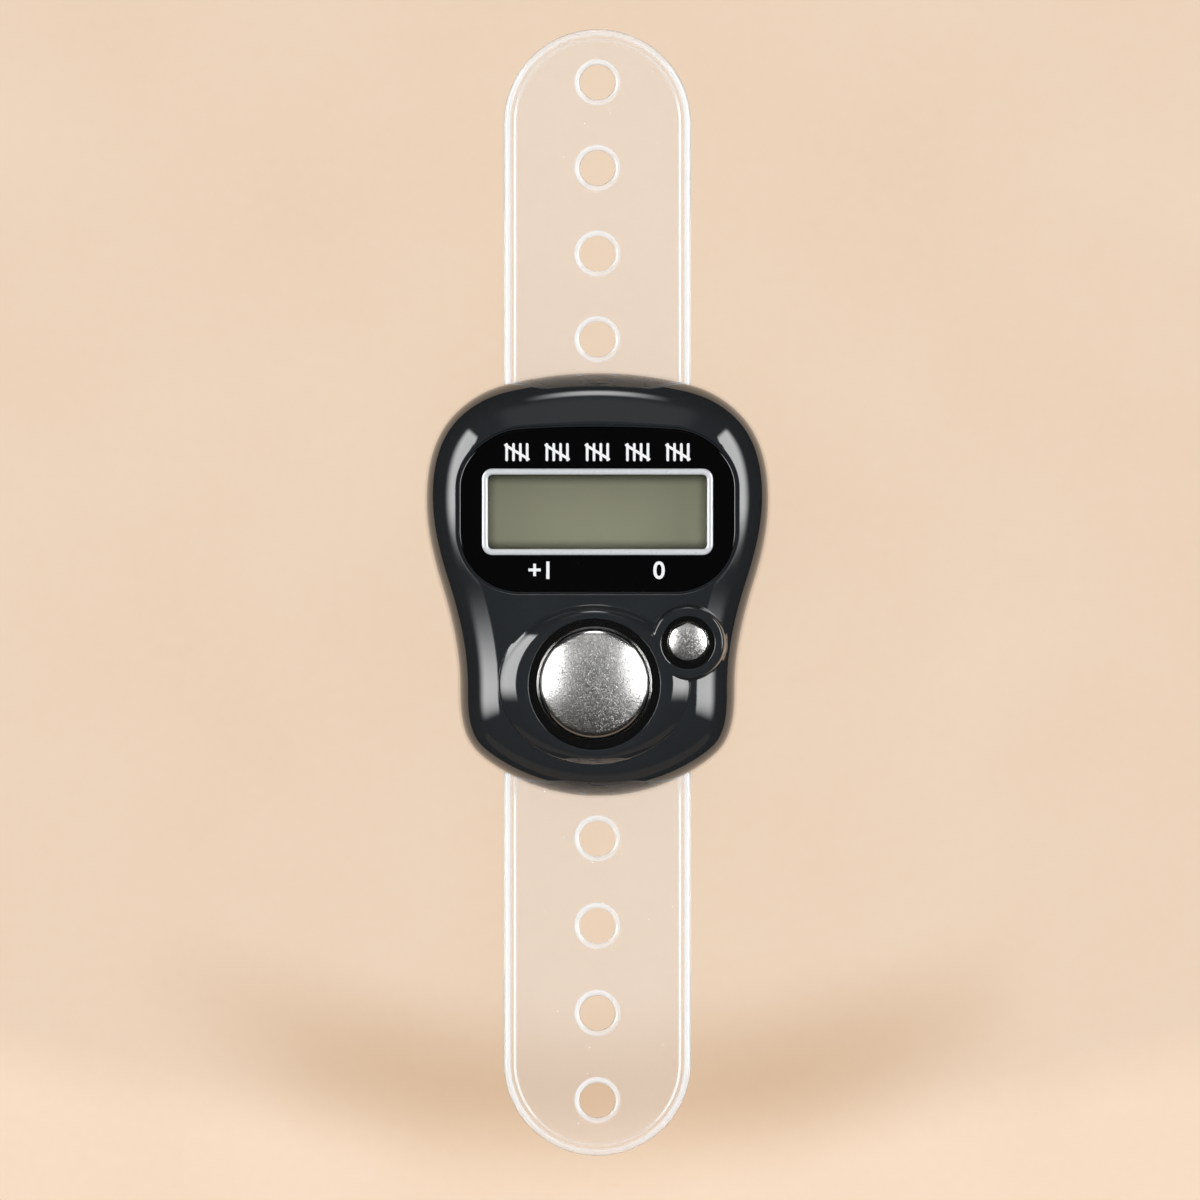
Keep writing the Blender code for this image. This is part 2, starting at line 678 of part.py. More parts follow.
def window_frame(look):
    """A bright bead round the window, half round on top, set in the panel's opening."""
    low, high = BEZEL_Z, BEZEL_Z + BEZEL_THICKNESS + FRAME_PROUD
    radius = FRAME_BEAD / 2
    inside = [(0.0, low), (0.0, high - radius)]
    outside = [(FRAME_BEAD, high - radius), (FRAME_BEAD, low)]
    crown = []
    for turn in (math.radians(angle) for angle in (135, 90, 45)):
        crown.append((radius + radius * math.cos(turn), high - radius + radius * math.sin(turn)))
    section = inside + crown + outside
    bm = bmesh.new()
    loops = []
    for out, height in section:
        points = rounded(*window_ranges(out), FRAME_CORNER - FRAME_BEAD + out, SMALL_CORNER_STEPS)
        loops.append([bm.verts.new((px, py, height)) for px, py in points])
    for near, far in zip(loops, loops[1:] + loops[:1]):
        for i in range(len(near)):
            j = (i + 1) % len(near)
            bm.faces.new((near[i], near[j], far[j], far[i]))
    return add_object("window_frame", bm, look)


def display_stack(looks):
    """The pane, the polariser, the two glasses, the reflector, the rubber connector and the holder."""
    pane = block(*window_ranges(PANE_OVERLAP), (PANE_Z, PANE_Z + PANE_THICKNESS))
    add_object("display_window", pane, looks["pane"])
    half = GLASS_HALF
    rear_bottom = GLASS_BOTTOM + GLASS_LEDGE
    film_x = half - FILM_INSET
    film_top = GLASS_TOP - FILM_INSET
    layers = (
        ("lcd_polariser", film_x, (GLASS_BOTTOM + FILM_INSET, film_top), POLARISER_Z, FILM_THICKNESS),
        ("lcd_front_glass", half, (GLASS_BOTTOM, GLASS_TOP), FRONT_GLASS_Z, GLASS_THICKNESS),
        ("lcd_rear_glass", half, (rear_bottom, GLASS_TOP), REAR_GLASS_Z, GLASS_THICKNESS),
        ("lcd_reflector", film_x, (rear_bottom + FILM_INSET, film_top), REFLECTOR_Z, FILM_THICKNESS),
    )
    for name, x, y_range, low, thickness in layers:
        add_object(name, block((-x, x), y_range, (low, low + thickness)), looks[name])
    zebra_y = (GLASS_BOTTOM + FIT, GLASS_BOTTOM + FIT + ZEBRA_DEPTH)
    zebra_x = half - HOLDER_WALL
    zebra_z = (BOARD_TOP_Z + FIT, FRONT_GLASS_Z - FIT)
    add_object("zebra_connector", block((-zebra_x, zebra_x), zebra_y, zebra_z), looks["zebra"])

    inner_x = half + FIT
    inner_y = (GLASS_BOTTOM - FIT, GLASS_TOP + FIT)
    outer_x = inner_x + HOLDER_WALL
    outer_y = (inner_y[0] - HOLDER_WALL, inner_y[1] + HOLDER_WALL)
    holder = add_object(
        "lcd_holder",
        block((-outer_x, outer_x), outer_y, (BOARD_TOP_Z + FIT, PANE_Z - FIT)),
        looks["holder"],
    )
    cut(holder, cutter("holder opening", block((-inner_x, inner_x), inner_y, (BOARD_Z, FACE_Z))))


def circuit_board(look):
    """The board follows the housing's inner outline and is cut straight at the top and the bottom."""
    points = []
    for x, y in outline(WALL + 2 * FIT):
        points.append((x, min(max(y, BOARD_BOTTOM), BOARD_TOP)))
    kept = [p for i, p in enumerate(points) if p[1] not in (BOARD_BOTTOM, BOARD_TOP) or is_corner(points, i)]
    board = add_object("circuit_board", prism(kept, BOARD_Z, BOARD_TOP_Z), look)
    bore = BOARD_SCREW_DIAMETER + 2 * SCREW_FIT
    holes = [cylinder(place, bore, BOARD_Z - PAST, BOARD_TOP_Z + PAST) for place in BOARD_SCREW_PLACES]
    cut(board, cutter("board holes", together(holes)))
    return board


def is_corner(points, i):
    """Whether a point on a straight cut is next to one that is off it."""
    before, after = points[i - 1], points[(i + 1) % len(points)]
    return before[1] != points[i][1] or after[1] != points[i][1]


def board_parts(looks):
    radius = CHIP_DIAMETER / 2
    top = BOARD_Z - FIT
    profile = [(0, top - CHIP_HEIGHT)]
    for i in range(1, CHIP_STEPS + 1):
        turn = math.radians(90 * i / CHIP_STEPS)
        profile.append((radius * math.sin(turn), top - CHIP_HEIGHT * math.cos(turn)))
    profile.append((0, top))
    add_object("chip_blob", turned(profile, CHIP_MIDDLE, ROUND_MEDIUM), looks["chip"])
    for name, size, middle in (
        ("capacitor", CAPACITOR_SIZE, CAPACITOR_MIDDLE),
        ("resistor", RESISTOR_SIZE, RESISTOR_MIDDLE),
    ):
        x_range = [middle[0] + side * size[0] / 2 for side in (-1, 1)]
        y_range = [middle[1] + side * size[1] / 2 for side in (-1, 1)]
        add_object(name, block(x_range, y_range, (top - size[2], top)), looks[name])


def cell(looks):
    """A button cell: the can is the positive pole, the cap towards the board the negative one."""
    radius = CELL_DIAMETER / 2
    inner = radius - CAN_WALL
    can_top = CELL_Z + CELL_HEIGHT - CELL_CAP_STEP
    base = CELL_Z + CAN_WALL
    can = [(0, CELL_Z), (radius, CELL_Z), (radius, can_top), (inner, can_top), (inner, base), (0, base)]
    add_object("cell_can", turned(can, CELL_MIDDLE, ROUND_LARGE), looks["can"], (*CELL_MIDDLE, CELL_Z))
    outer = inner - FIT
    ring = outer - GASKET_WALL
    low = base + FIT
    gasket = [(ring, low), (outer, low), (outer, can_top), (ring, can_top)]
    add_object("cell_gasket", turned(gasket, CELL_MIDDLE, ROUND_LARGE, closed=True), looks["gasket"])
    cap = ring - FIT
    add_object(
        "cell_cap",
        cylinder(CELL_MIDDLE, 2 * cap, low, CELL_Z + CELL_HEIGHT, ROUND_LARGE),
        looks["cap"],
        (*CELL_MIDDLE, low),
    )


def contacts(look):
    """The negative leaf lies between the cell's cap and the board, the positive one stands beside the can."""
    x, y = CELL_MIDDLE
    half = CONTACT_WIDTH / 2
    turns = [math.pi * i / LEAF_TIP_STEPS for i in range(LEAF_TIP_STEPS + 1)]
    tip = [(x + half * math.sin(turn), y + half * math.cos(turn)) for turn in turns]
    leaf = [*tip[::-1], (x - CONTACT_REACH, y + half), (x - CONTACT_REACH, y - half)]
    add_object("battery_contact_negative", prism(leaf, CONTACT_Z, CONTACT_Z + CONTACT_THICKNESS), look)
    blade_x = (x + CELL_DIAMETER / 2 + FIT, x + CELL_DIAMETER / 2 + FIT + CONTACT_THICKNESS)
    top = CONTACT_Z + CONTACT_THICKNESS
    y_range = (y - half, y + half)
    blade = add_object("battery_contact_positive", block(blade_x, y_range, (CELL_Z + FIT, top)), look)
    foot = block((blade_x[0] + CONTACT_THICKNESS / 2, x + CONTACT_REACH), y_range, (CONTACT_Z, top))
    join(blade, cutter("positive foot", foot))


def cap_profile(radius, hole, dome, edge_z, plunger, plunger_z):
    """A button's turned profile: plunger, flange, side, small round edge and dome."""
    top = edge_z + dome
    curve = (radius**2 + dome**2) / (2 * dome)
    profile = [
        (0, plunger_z),
        (plunger, plunger_z),
        (plunger, FLANGE_Z),
        (hole + FLANGE, FLANGE_Z),
        (hole + FLANGE, FLANGE_TOP_Z),
        (radius, FLANGE_TOP_Z),
        (radius, edge_z - CAP_EDGE_BEVEL),
    ]
    lip = radius - CAP_EDGE_BEVEL
    for i in range(CAP_STEPS):
        at = lip * (1 - i / CAP_STEPS)
        profile.append((at, top - curve + math.sqrt(curve**2 - at**2)))
    profile.append((0, top))
    return profile


def button(name, look, middle, diameter, hole, dome, edge_z, plunger_diameter, steps):
    """A plated cap. Its origin is on the axis that it is pressed along, where the plunger meets its dome."""
    plunger_z = BOARD_TOP_Z + FIT + KEY_FREE_HEIGHT + FIT
    profile = cap_profile(diameter / 2, hole, dome, edge_z, plunger_diameter / 2, plunger_z)
    return add_object(name, turned(profile, middle, steps), look, (*middle, plunger_z))


def key_dome(name, look, middle, diameter, pill_diameter, travel, steps):
    """A silicone key dome, open underneath, that folds as the button goes down."""
    low = BOARD_TOP_Z + FIT
    high = low + KEY_FREE_HEIGHT
    outer = diameter / 2
    pill_top = BOARD_TOP_Z + travel + PILL_STOP + PILL_THICKNESS
    room_top = pill_top + FIT
    room = pill_diameter / 2 + FIT
    skirt = outer - 2 * KEY_WEB_THICKNESS
    profile = [
        (room, room_top),
        (0, room_top),
        (0, high),
        (room + KEY_WEB_THICKNESS, high),
        (room + KEY_WEB_THICKNESS, room_top + KEY_WEB_THICKNESS),
        (skirt, low + KEY_BASE_THICKNESS),
        (outer, low + KEY_BASE_THICKNESS),
        (outer, low),
        (skirt - KEY_WEB_THICKNESS / 2, low),
    ]
    return add_object(name, turned(profile[::-1], middle, steps, closed=True), look, (*middle, low))


def key_pill(name, look, middle, diameter, travel):
    low = BOARD_TOP_Z + travel + PILL_STOP
    return add_object(
        name, cylinder(middle, diameter, low, low + PILL_THICKNESS), look, (*middle, low)
    )


def screw(name, look, place, diameter, length, head_diameter, head_height, seat_z):
    """A screw driven upwards from behind, with a cross recess in its head. Its origin is under its head."""
    shank = diameter / 2
    head = head_diameter / 2
    low = seat_z - head_height
    top = seat_z + length
    profile = [
        (0, low),
        (head * HEAD_TOP_SHARE, low),
        (head, low + head_height / 2),
        (head, seat_z),
        (shank, seat_z),
        (shank, top - shank),
        (shank * TIP_SHARE, top),
        (0, top),
    ]
    obj = add_object(name, turned(profile, place, ROUND_SMALL), look, (*place, seat_z))
    reach = head * SLOT_REACH_SHARE
    arm = SLOT_WIDTH / 2
    x, y = place
    cross = [
        (x + reach, y - arm),
        (x + reach, y + arm),
        (x + arm, y + arm),
        (x + arm, y + reach),
        (x - arm, y + reach),
        (x - arm, y + arm),
        (x - reach, y + arm),
        (x - reach, y - arm),
        (x - arm, y - arm),
        (x - arm, y - reach),
        (x + arm, y - reach),
        (x + arm, y - arm),
    ]
    cut(obj, cutter(f"{name} recess", prism(cross, low - PAST, low + SLOT_DEPTH)))
    return obj


def hold(parent, *children):
    """Parents the children and leaves them where they are."""
    for child in children:
        child.parent = parent
        child.location = child.location - parent.location


def build():
    clear_scene()
    charcoal = material("charcoal gloss ABS", (0.018, 0.021, 0.024), 0.08)
    black = material("black gloss panel", (0.003, 0.003, 0.0035), 0.04)
    silver = material("silver plated bead", (0.80, 0.81, 0.83), 0.18, 1.0)
    satin = material("satin plated ABS", (0.62, 0.61, 0.60), 0.32, 1.0)
    clear = material("clear soft plastic", (0.93, 0.93, 0.92), 0.08, 0.0, 0.9)
    spring = material("nickel plated spring strip", (0.66, 0.63, 0.56), 0.25, 1.0)
    steel = material("zinc plated steel", (0.58, 0.58, 0.60), 0.30, 1.0)
    silicone = material("grey silicone", (0.35, 0.36, 0.37), 0.55)
    carbon = material("carbon contact", (0.02, 0.02, 0.02), 0.7)
    glass = material("display glass", (0.60, 0.63, 0.56), 0.05, 0.0, 0.7)

    rear = rear_housing(charcoal)
    front = front_housing(charcoal)
    display_bezel(black)
    window_frame(silver)
    display_stack(
        {
            "pane": material("clear acrylic pane", (0.95, 0.95, 0.95), 0.03, 0.0, 0.95),
            "lcd_polariser": material("olive grey polariser", (0.21, 0.21, 0.15), 0.35),
            "lcd_front_glass": glass,
            "lcd_rear_glass": glass,
            "lcd_reflector": material("aluminised reflector", (0.70, 0.70, 0.66), 0.35, 1.0),
            "zebra": material("striped silicone connector", (0.80, 0.62, 0.62), 0.6),
            "holder": material("white holder ABS", (0.78, 0.78, 0.76), 0.4),
        }
    )
    circuit_board(material("green board laminate", (0.02, 0.13, 0.05), 0.45))
    board_parts(
        {
            "chip": material("black epoxy", (0.01, 0.01, 0.01), 0.35),
            "capacitor": material("tan ceramic", (0.42, 0.27, 0.15), 0.45),
            "resistor": material("black resistor", (0.02, 0.02, 0.025), 0.4),
        }
    )
    cell(
        {
            "can": steel,
            "gasket": material("grey nylon gasket", (0.30, 0.30, 0.30), 0.5),
            "cap": material("polished nickel cap", (0.75, 0.74, 0.72), 0.18, 1.0),
        }
    )
    contacts(spring)

    count_edge = FACE_Z + MOUND_HEIGHT + COUNT_PROUD
    count = button(
        "count_button", satin, COUNT_MIDDLE, COUNT_DIAMETER, COUNT_HOLE, COUNT_DOME, count_edge,
        COUNT_PLUNGER_DIAMETER, ROUND_LARGE,
    )
    reset_edge = FACE_Z + COLLAR_HEIGHT + RESET_PROUD
    reset = button(
        "reset_button", satin, RESET_MIDDLE, RESET_DIAMETER, RESET_HOLE, RESET_DOME, reset_edge,
        RESET_PLUNGER_DIAMETER, ROUND_MEDIUM,
    )
    key_dome(
        "count_dome", silicone, COUNT_MIDDLE, COUNT_KEY_DIAMETER, COUNT_PILL_DIAMETER, COUNT_TRAVEL,
        ROUND_MEDIUM,
    )
    key_dome(
        "reset_dome", silicone, RESET_MIDDLE, RESET_KEY_DIAMETER, RESET_PILL_DIAMETER, RESET_TRAVEL,
        ROUND_SMALL,
    )
    hold(count, key_pill("count_pill", carbon, COUNT_MIDDLE, COUNT_PILL_DIAMETER, COUNT_TRAVEL))
    hold(reset, key_pill("reset_pill", carbon, RESET_MIDDLE, RESET_PILL_DIAMETER, RESET_TRAVEL))

    housing_seat = SEAT_Z - SCREW_FIT
    for i, place in enumerate(HOUSING_SCREW_PLACES, 1):
        fixing = screw(
            f"housing_screw_{i}", steel, place, HOUSING_SCREW_DIAMETER, HOUSING_SCREW_LENGTH,
            HOUSING_HEAD_DIAMETER, HOUSING_HEAD_HEIGHT, housing_seat,
        )
        hold(rear, fixing)
    board_seat = BOARD_Z - SCREW_FIT
    for i, place in enumerate(BOARD_SCREW_PLACES, 1):
        fixing = screw(
            f"board_screw_{i}", steel, place, BOARD_SCREW_DIAMETER, BOARD_SCREW_LENGTH,
            BOARD_HEAD_DIAMETER, BOARD_HEAD_HEIGHT, board_seat,
        )
        hold(front, fixing)

    hold(rear, strap_middle(clear))
    strap_end("strap_upper", clear, 1, UPPER_HINGE_Y, UPPER_FIRST_HOLE, UPPER_HOLE_PITCH)
    strap_end("strap_lower", clear, -1, LOWER_HINGE_Y, LOWER_FIRST_HOLE, LOWER_HOLE_PITCH)


build()
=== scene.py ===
"""Looks of a digital finger tally counter on a clear perforated strap.

The counter lies on its back on a pale sheet and is seen straight from above: +Z is its front, and +Y its end
with the display. Sizes are in millimetres. A finished piece is in metres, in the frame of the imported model.
"""

import math

import bmesh
import bpy
import numpy as np
from mathutils import Matrix
from mathutils.geometry import delaunay_2d_cdt


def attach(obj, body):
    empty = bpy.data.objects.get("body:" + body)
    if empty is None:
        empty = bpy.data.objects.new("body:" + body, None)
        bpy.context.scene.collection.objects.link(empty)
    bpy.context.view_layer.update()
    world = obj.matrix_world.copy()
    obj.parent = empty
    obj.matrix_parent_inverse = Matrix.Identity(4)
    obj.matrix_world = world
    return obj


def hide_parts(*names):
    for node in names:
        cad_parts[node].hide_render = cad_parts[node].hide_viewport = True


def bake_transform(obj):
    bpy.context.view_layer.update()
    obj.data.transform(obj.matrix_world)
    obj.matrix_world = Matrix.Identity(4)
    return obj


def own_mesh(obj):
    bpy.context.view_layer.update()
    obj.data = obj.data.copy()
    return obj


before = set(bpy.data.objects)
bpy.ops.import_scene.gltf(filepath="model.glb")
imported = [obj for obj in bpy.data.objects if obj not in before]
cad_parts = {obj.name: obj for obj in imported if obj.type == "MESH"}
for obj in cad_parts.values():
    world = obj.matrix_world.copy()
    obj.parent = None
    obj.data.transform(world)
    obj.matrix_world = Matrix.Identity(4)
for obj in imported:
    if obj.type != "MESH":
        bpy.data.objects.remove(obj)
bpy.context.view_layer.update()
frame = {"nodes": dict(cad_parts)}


# CAMERA
# A long lens square above the counter, its axis a little right of the strap's middle and below it.

MM = 0.001
CAMERA_DISTANCE = 900.0
CAMERA_AIM = (0.21, -0.62, 1.55)
CLIP_END = 10000.0
VIEW_SIDE = 99.5
SENSOR = 36.0


def add_object(name, data):
    """A new object in the scene."""
    made = bpy.data.objects.new(name, data)
    bpy.context.scene.collection.objects.link(made)
    return made


camera = add_object("camera", bpy.data.cameras.new("camera"))
camera.data.sensor_width = SENSOR
camera.data.lens = SENSOR * CAMERA_DISTANCE / VIEW_SIDE
camera.data.clip_end = CLIP_END * MM
camera.location = (CAMERA_AIM[0] * MM, CAMERA_AIM[1] * MM, (CAMERA_AIM[2] + CAMERA_DISTANCE) * MM)
bpy.context.scene.camera = camera
bpy.context.scene.view_settings.view_transform = "Standard"


# FRONT HOUSING
# Moulded in glossy charcoal ABS: a fully rounded rim, a recess for the display panel, an oval mound round the
# count button and a raised collar round the reset button. It meets the rear half in a fine parting line.

KNOTS = (  # x, y and turn in degrees from +X, from the top down the right side
    (0.0, 18.08, 0.0),
    (7.6, 17.13, 14.5),
    (12.05, 14.40, 49.0),
    (14.10, 7.70, 90.0),
    (12.85, 0.75, 107.5),
    (11.32, -7.80, 90.0),
    (10.75, -11.90, 113.0),
    (8.60, -14.17, 146.0),
    (0.0, -16.79, 180.0),
)
OUTLINE_POINTS = 420
CURVE_STEPS = 60
SOFT_REACH = 6
SOFT_WIDTH = 1.6
PARTING_Z = 5.35
PARTING_CHAMFER = 0.12
ROUND_Z = 7.0
FRONT_ROUND = 5.6
LID_Z = 9.85
WALL = 1.2
EDGE_INSET = 1.1
RIM_SOFTNESS = 0.5
GRID_STEP = 0.15
GRID_X = (-15.0, 15.0)
GRID_Y = (-18.0, 19.5)
PORTION = 4000


def even(points, count):
    """A closed loop of evenly spaced points along a closed line."""
    closed = np.vstack([points, points[:1]])
    along = np.concatenate([[0.0], np.cumsum(np.linalg.norm(np.diff(closed, axis=0), axis=1))])
    at = np.linspace(0.0, along[-1], count, endpoint=False)
    return np.column_stack([np.interp(at, along, closed[:, i]) for i in (0, 1)])


def outward(loop):
    """The outward direction at each point of an anticlockwise loop."""
    along = np.roll(loop, -1, axis=0) - np.roll(loop, 1, axis=0)
    out = np.column_stack([along[:, 1], -along[:, 0]])
    return out / np.linalg.norm(out, axis=1)[:, None]


def housing_outline(inset):
    """The housing's outline drawn in by a distance: cubic curves through the knots, anticlockwise."""
    right = []
    for (ax, ay, a_turn), (bx, by, b_turn) in zip(KNOTS, KNOTS[1:]):
        a_turn, b_turn = math.radians(a_turn), math.radians(b_turn)
        a_way = np.array((math.cos(a_turn), -math.sin(a_turn)))
        b_way = np.array((math.cos(b_turn), -math.sin(b_turn)))
        start = np.array((ax, ay)) + inset * np.array((a_way[1], -a_way[0]))
        end = np.array((bx, by)) + inset * np.array((b_way[1], -b_way[0]))
        bend = abs(b_turn - a_turn)
        reach = np.linalg.norm(end - start) * 2 / 3 * math.tan(bend / 4) / math.sin(bend / 2)
        t = np.linspace(0.0, 1.0, CURVE_STEPS, endpoint=False)[:, None]
        right.append(
            (1 - t) ** 3 * start
            + 3 * (1 - t) ** 2 * t * (start + reach * a_way)
            + 3 * (1 - t) * t**2 * (end - reach * b_way)
            + t**3 * end
        )
    right = np.vstack([*right, [[0.0, KNOTS[-1][1] + inset]]])
    left = right[::-1][1:-1] * (-1, 1)
    loop = even(np.vstack([right, left])[::-1], OUTLINE_POINTS)
    loop = np.roll(loop, 1, axis=0)
    steps = np.arange(-SOFT_REACH, SOFT_REACH + 1)
    weights = np.exp(-0.5 * (steps / SOFT_WIDTH) ** 2)
    return sum(w * np.roll(loop, i, axis=0) for w, i in zip(weights / weights.sum(), steps))


edge_line = housing_outline(0.0)
edge_out = outward(edge_line)


def depth_inside(points):
    """How far each point lies inside the housing's outline."""
    depths = []
    for part in np.array_split(points, max(1, len(points) // PORTION)):
        nearest = ((part[:, None] - edge_line[None]) ** 2).sum(2).argmin(1)
        depths.append(((edge_line[nearest] - part) * edge_out[nearest]).sum(1))
    return np.concatenate(depths)


def rim_height(depth):
    """The height of the rounded rim at a distance in from the outline."""
    share = 1 - np.clip(depth, 0.0, FRONT_ROUND) / FRONT_ROUND
    return ROUND_Z + FRONT_ROUND * np.sqrt(1 - share**2)


grid_x = np.arange(GRID_X[0], GRID_X[1] + GRID_STEP, GRID_STEP)
grid_y = np.arange(GRID_Y[0], GRID_Y[1] + GRID_STEP, GRID_STEP)
grid = rim_height(depth_inside(np.array([(x, y) for x in grid_x for y in grid_y])))
grid = grid.reshape(len(grid_x), len(grid_y))
reach = int(3 * RIM_SOFTNESS / GRID_STEP)
weights = np.exp(-0.5 * (np.arange(-reach, reach + 1) * GRID_STEP / RIM_SOFTNESS) ** 2)
weights /= weights.sum()
for axis in (0, 1):
    padded = np.pad(grid, [(reach, reach) if i == axis else (0, 0) for i in (0, 1)], mode="edge")
    size = grid.shape[axis]
    grid = sum(w * np.take(padded, range(i, i + size), axis=axis) for i, w in enumerate(weights))


def soft_height(points):
    """The smoothed rim between the grid's points, by cubic interpolation."""
    at = (points - (grid_x[0], grid_y[0])) / GRID_STEP
    cell = np.clip(np.floor(at).astype(int), 1, np.array(grid.shape) - 3)
    t = at - cell
    shares = np.stack(
        [
            -0.5 * t**3 + t**2 - 0.5 * t,
            1.5 * t**3 - 2.5 * t**2 + 1,
            -1.5 * t**3 + 2 * t**2 + 0.5 * t,
            0.5 * t**3 - 0.5 * t**2,
        ]
    )
    height = np.zeros(len(points))
    for i in range(4):
        for j in range(4):
            height += shares[i, :, 0] * shares[j, :, 1] * grid[cell[:, 0] + i - 1, cell[:, 1] + j - 1]
    return height


FACE_Z = ROUND_Z + FRONT_ROUND
COUNT_MIDDLE = (-0.25, -7.50)
COUNT_HOLE = 5.35
MOUND_RIM = 5.75
MOUND_HALF = (7.85, 6.60)
MOUND_HEIGHT = 0.95
MOUND_SKIRT = 0.25
MOUND_STEP = 0.1
MOUND_STEP_SHARE = 0.06
MOUND_BEND = 1.5
MOUND_FALL = 30.0
MOUND_VALLEY = 0.22
RESET_MIDDLE = (7.42, -4.10)
RESET_HOLE = 2.15
COLLAR_CREST = 2.66
COLLAR_FOOT = 3.14
COLLAR_HEIGHT = 0.8
COLLAR_DROP = 2.2
COLLAR_BEND = 2.6
COLLAR_FALL = 20.0
COLLAR_VALLEY = 0.16
SOFT_FROM = 1.6
SOFT_OVER = 1.4


def from_middle(points, middle):
    """How far each point lies from a middle."""
    return np.linalg.norm(points - middle, axis=1)


def mound_oval(share):
    """The mound's half width and half height at a share of the way up its flank."""
    return [half + share * (MOUND_RIM - half) for half in MOUND_HALF]


def mound_share(points, lowest=-0.6, highest=1.6, halvings=30):
    """How far up the mound's flank each point is: 0 at the oval foot, 1 at the rim round the button."""
    dx, dy = np.abs(points - COUNT_MIDDLE).T
    low, high = np.full(len(points), lowest), np.full(len(points), highest)
    for _ in range(halvings):
        middle = (low + high) / 2
        wide, tall = mound_oval(middle)
        outside = (dx / wide) ** 2 + (dy / tall) ** 2 > 1
        high = np.where(outside, middle, high)
        low = np.where(outside, low, middle)
    return (low + high) / 2


def mound_height(points):
    """The mound's height: a small step at the foot, then a broad flank that flattens towards the rim."""
    share = mound_share(points)
    step = np.sqrt(1 - (1 - np.clip(share / MOUND_STEP_SHARE, 0.0, 1.0)) ** 2)
    flank = 1 - (1 - np.clip(share, 0.0, 1.0)) ** MOUND_BEND
    height = FACE_Z - MOUND_SKIRT - MOUND_STEP + MOUND_STEP * step
    return height + (MOUND_HEIGHT + MOUND_SKIRT) * flank + MOUND_FALL * np.minimum(share, 0.0)


def collar_height(points):
    """The collar's height: level up to its crest, rounded down to its foot and falling away beyond it."""
    radius = from_middle(points, RESET_MIDDLE)
    share = np.clip((radius - COLLAR_CREST) / (COLLAR_FOOT - COLLAR_CREST), 0.0, 1.0)
    fall = COLLAR_DROP * (1 - (1 - share**COLLAR_BEND) ** (1 / COLLAR_BEND))
    return FACE_Z + COLLAR_HEIGHT - fall - COLLAR_FALL * np.maximum(radius - COLLAR_FOOT, 0.0)


def swell(low, high, softness):
    """The higher of two surfaces, with a rounded valley where they meet."""
    near = np.maximum(softness - np.abs(low - high), 0.0)
    return np.maximum(low, high) + near**2 / (4 * softness)


def face_height(points):
    """The height of the housing's front at each point."""
    depth = depth_inside(points)
    share = np.clip((depth - SOFT_FROM) / SOFT_OVER, 0.0, 1.0)
    share = share * share * (3 - 2 * share)
    height = (1 - share) * rim_height(depth) + share * soft_height(points)
    height = swell(height, mound_height(points), MOUND_VALLEY)
    return swell(height, collar_height(points), COLLAR_VALLEY)


PANEL_HALF = 11.36
PANEL_Y = (0.04, 13.60)
PANEL_CORNER = 5.0
PANEL_ARCH = 0.30
ARCH_HALF = 7.5
PANEL_POINTS = 300
CORNER_STEPS = 40
RECESS_GAP = 0.15
RECESS_FLOOR_Z = 10.65


def rounded_box(half, y_range, corner, count):
    """A rectangle with round corners, anticlockwise, as evenly spaced points."""
    points = []
    for x, y, start in (
        (half - corner, y_range[0] + corner, -90),
        (half - corner, y_range[1] - corner, 0),
        (corner - half, y_range[1] - corner, 90),
        (corner - half, y_range[0] + corner, 180),
    ):
        for turn in np.radians(np.linspace(start, start + 90, CORNER_STEPS)):
            points.append((x + corner * math.cos(turn), y + corner * math.sin(turn)))
    return even(np.array(points), count)


def panel_outline(grow):
    """The display panel's outline, with a gently arched top edge."""
    y_range = (PANEL_Y[0] - grow, PANEL_Y[1] + grow)
    loop = rounded_box(PANEL_HALF + grow, y_range, PANEL_CORNER + grow, 4 * PANEL_POINTS)
    share = np.clip((loop[:, 1] - PANEL_Y[1] + PANEL_CORNER) / PANEL_CORNER, 0.0, 1.0)
    loop[:, 1] -= PANEL_ARCH * share * (loop[:, 0] / ARCH_HALF) ** 2
    return even(loop, PANEL_POINTS)


def circle(middle, radius, count):
    """A circle of evenly spaced points, anticlockwise."""
    turns = np.linspace(0.0, math.tau, count, endpoint=False)
    return np.column_stack([middle[0] + radius * np.cos(turns), middle[1] + radius * np.sin(turns)])


def within(points, loop):
    """Whether each point lies inside a closed loop."""
    x, y = points[:, :1], points[:, 1:]
    (ax, ay), (bx, by) = loop.T, np.roll(loop, -1, axis=0).T
    crosses = (ay > y) != (by > y)
    with np.errstate(divide="ignore", invalid="ignore"):
        at = ax + (y - ay) * (bx - ax) / (by - ay)
    return (crosses & (x < at)).sum(1) % 2 == 1


def at_height(loop, height):
    """A flat loop's points at a height, or each at its own."""
    return np.column_stack([loop, np.broadcast_to(height, len(loop))])


def add_patch(bm, outer, holes, height_of, inner=()):
    """Fills the area between an outer loop and holes with triangles, by way of inner points."""
    points, edges = [], []
    for loop in [outer, *holes]:
        first = len(points)
        points += loop.tolist()
        edges += [(first + i, first + (i + 1) % len(loop)) for i in range(len(loop))]
    points += [tuple(p) for p in inner]
    flat, _, faces, *_ = delaunay_2d_cdt(points, edges, [], 0, 1e-6)
    flat = np.array([tuple(p) for p in flat])
    middles = np.array([flat[list(face)].mean(0) for face in faces])
    kept = within(middles, outer)
    for hole in holes:
        kept &= ~within(middles, hole)
    verts = [bm.verts.new(p) for p in at_height(flat, height_of(flat))]
    for face, keep in zip(faces, kept):
        if keep:
            bm.faces.new([verts[i] for i in face])
    for vert in verts:
        if not vert.link_faces:
            bm.verts.remove(vert)


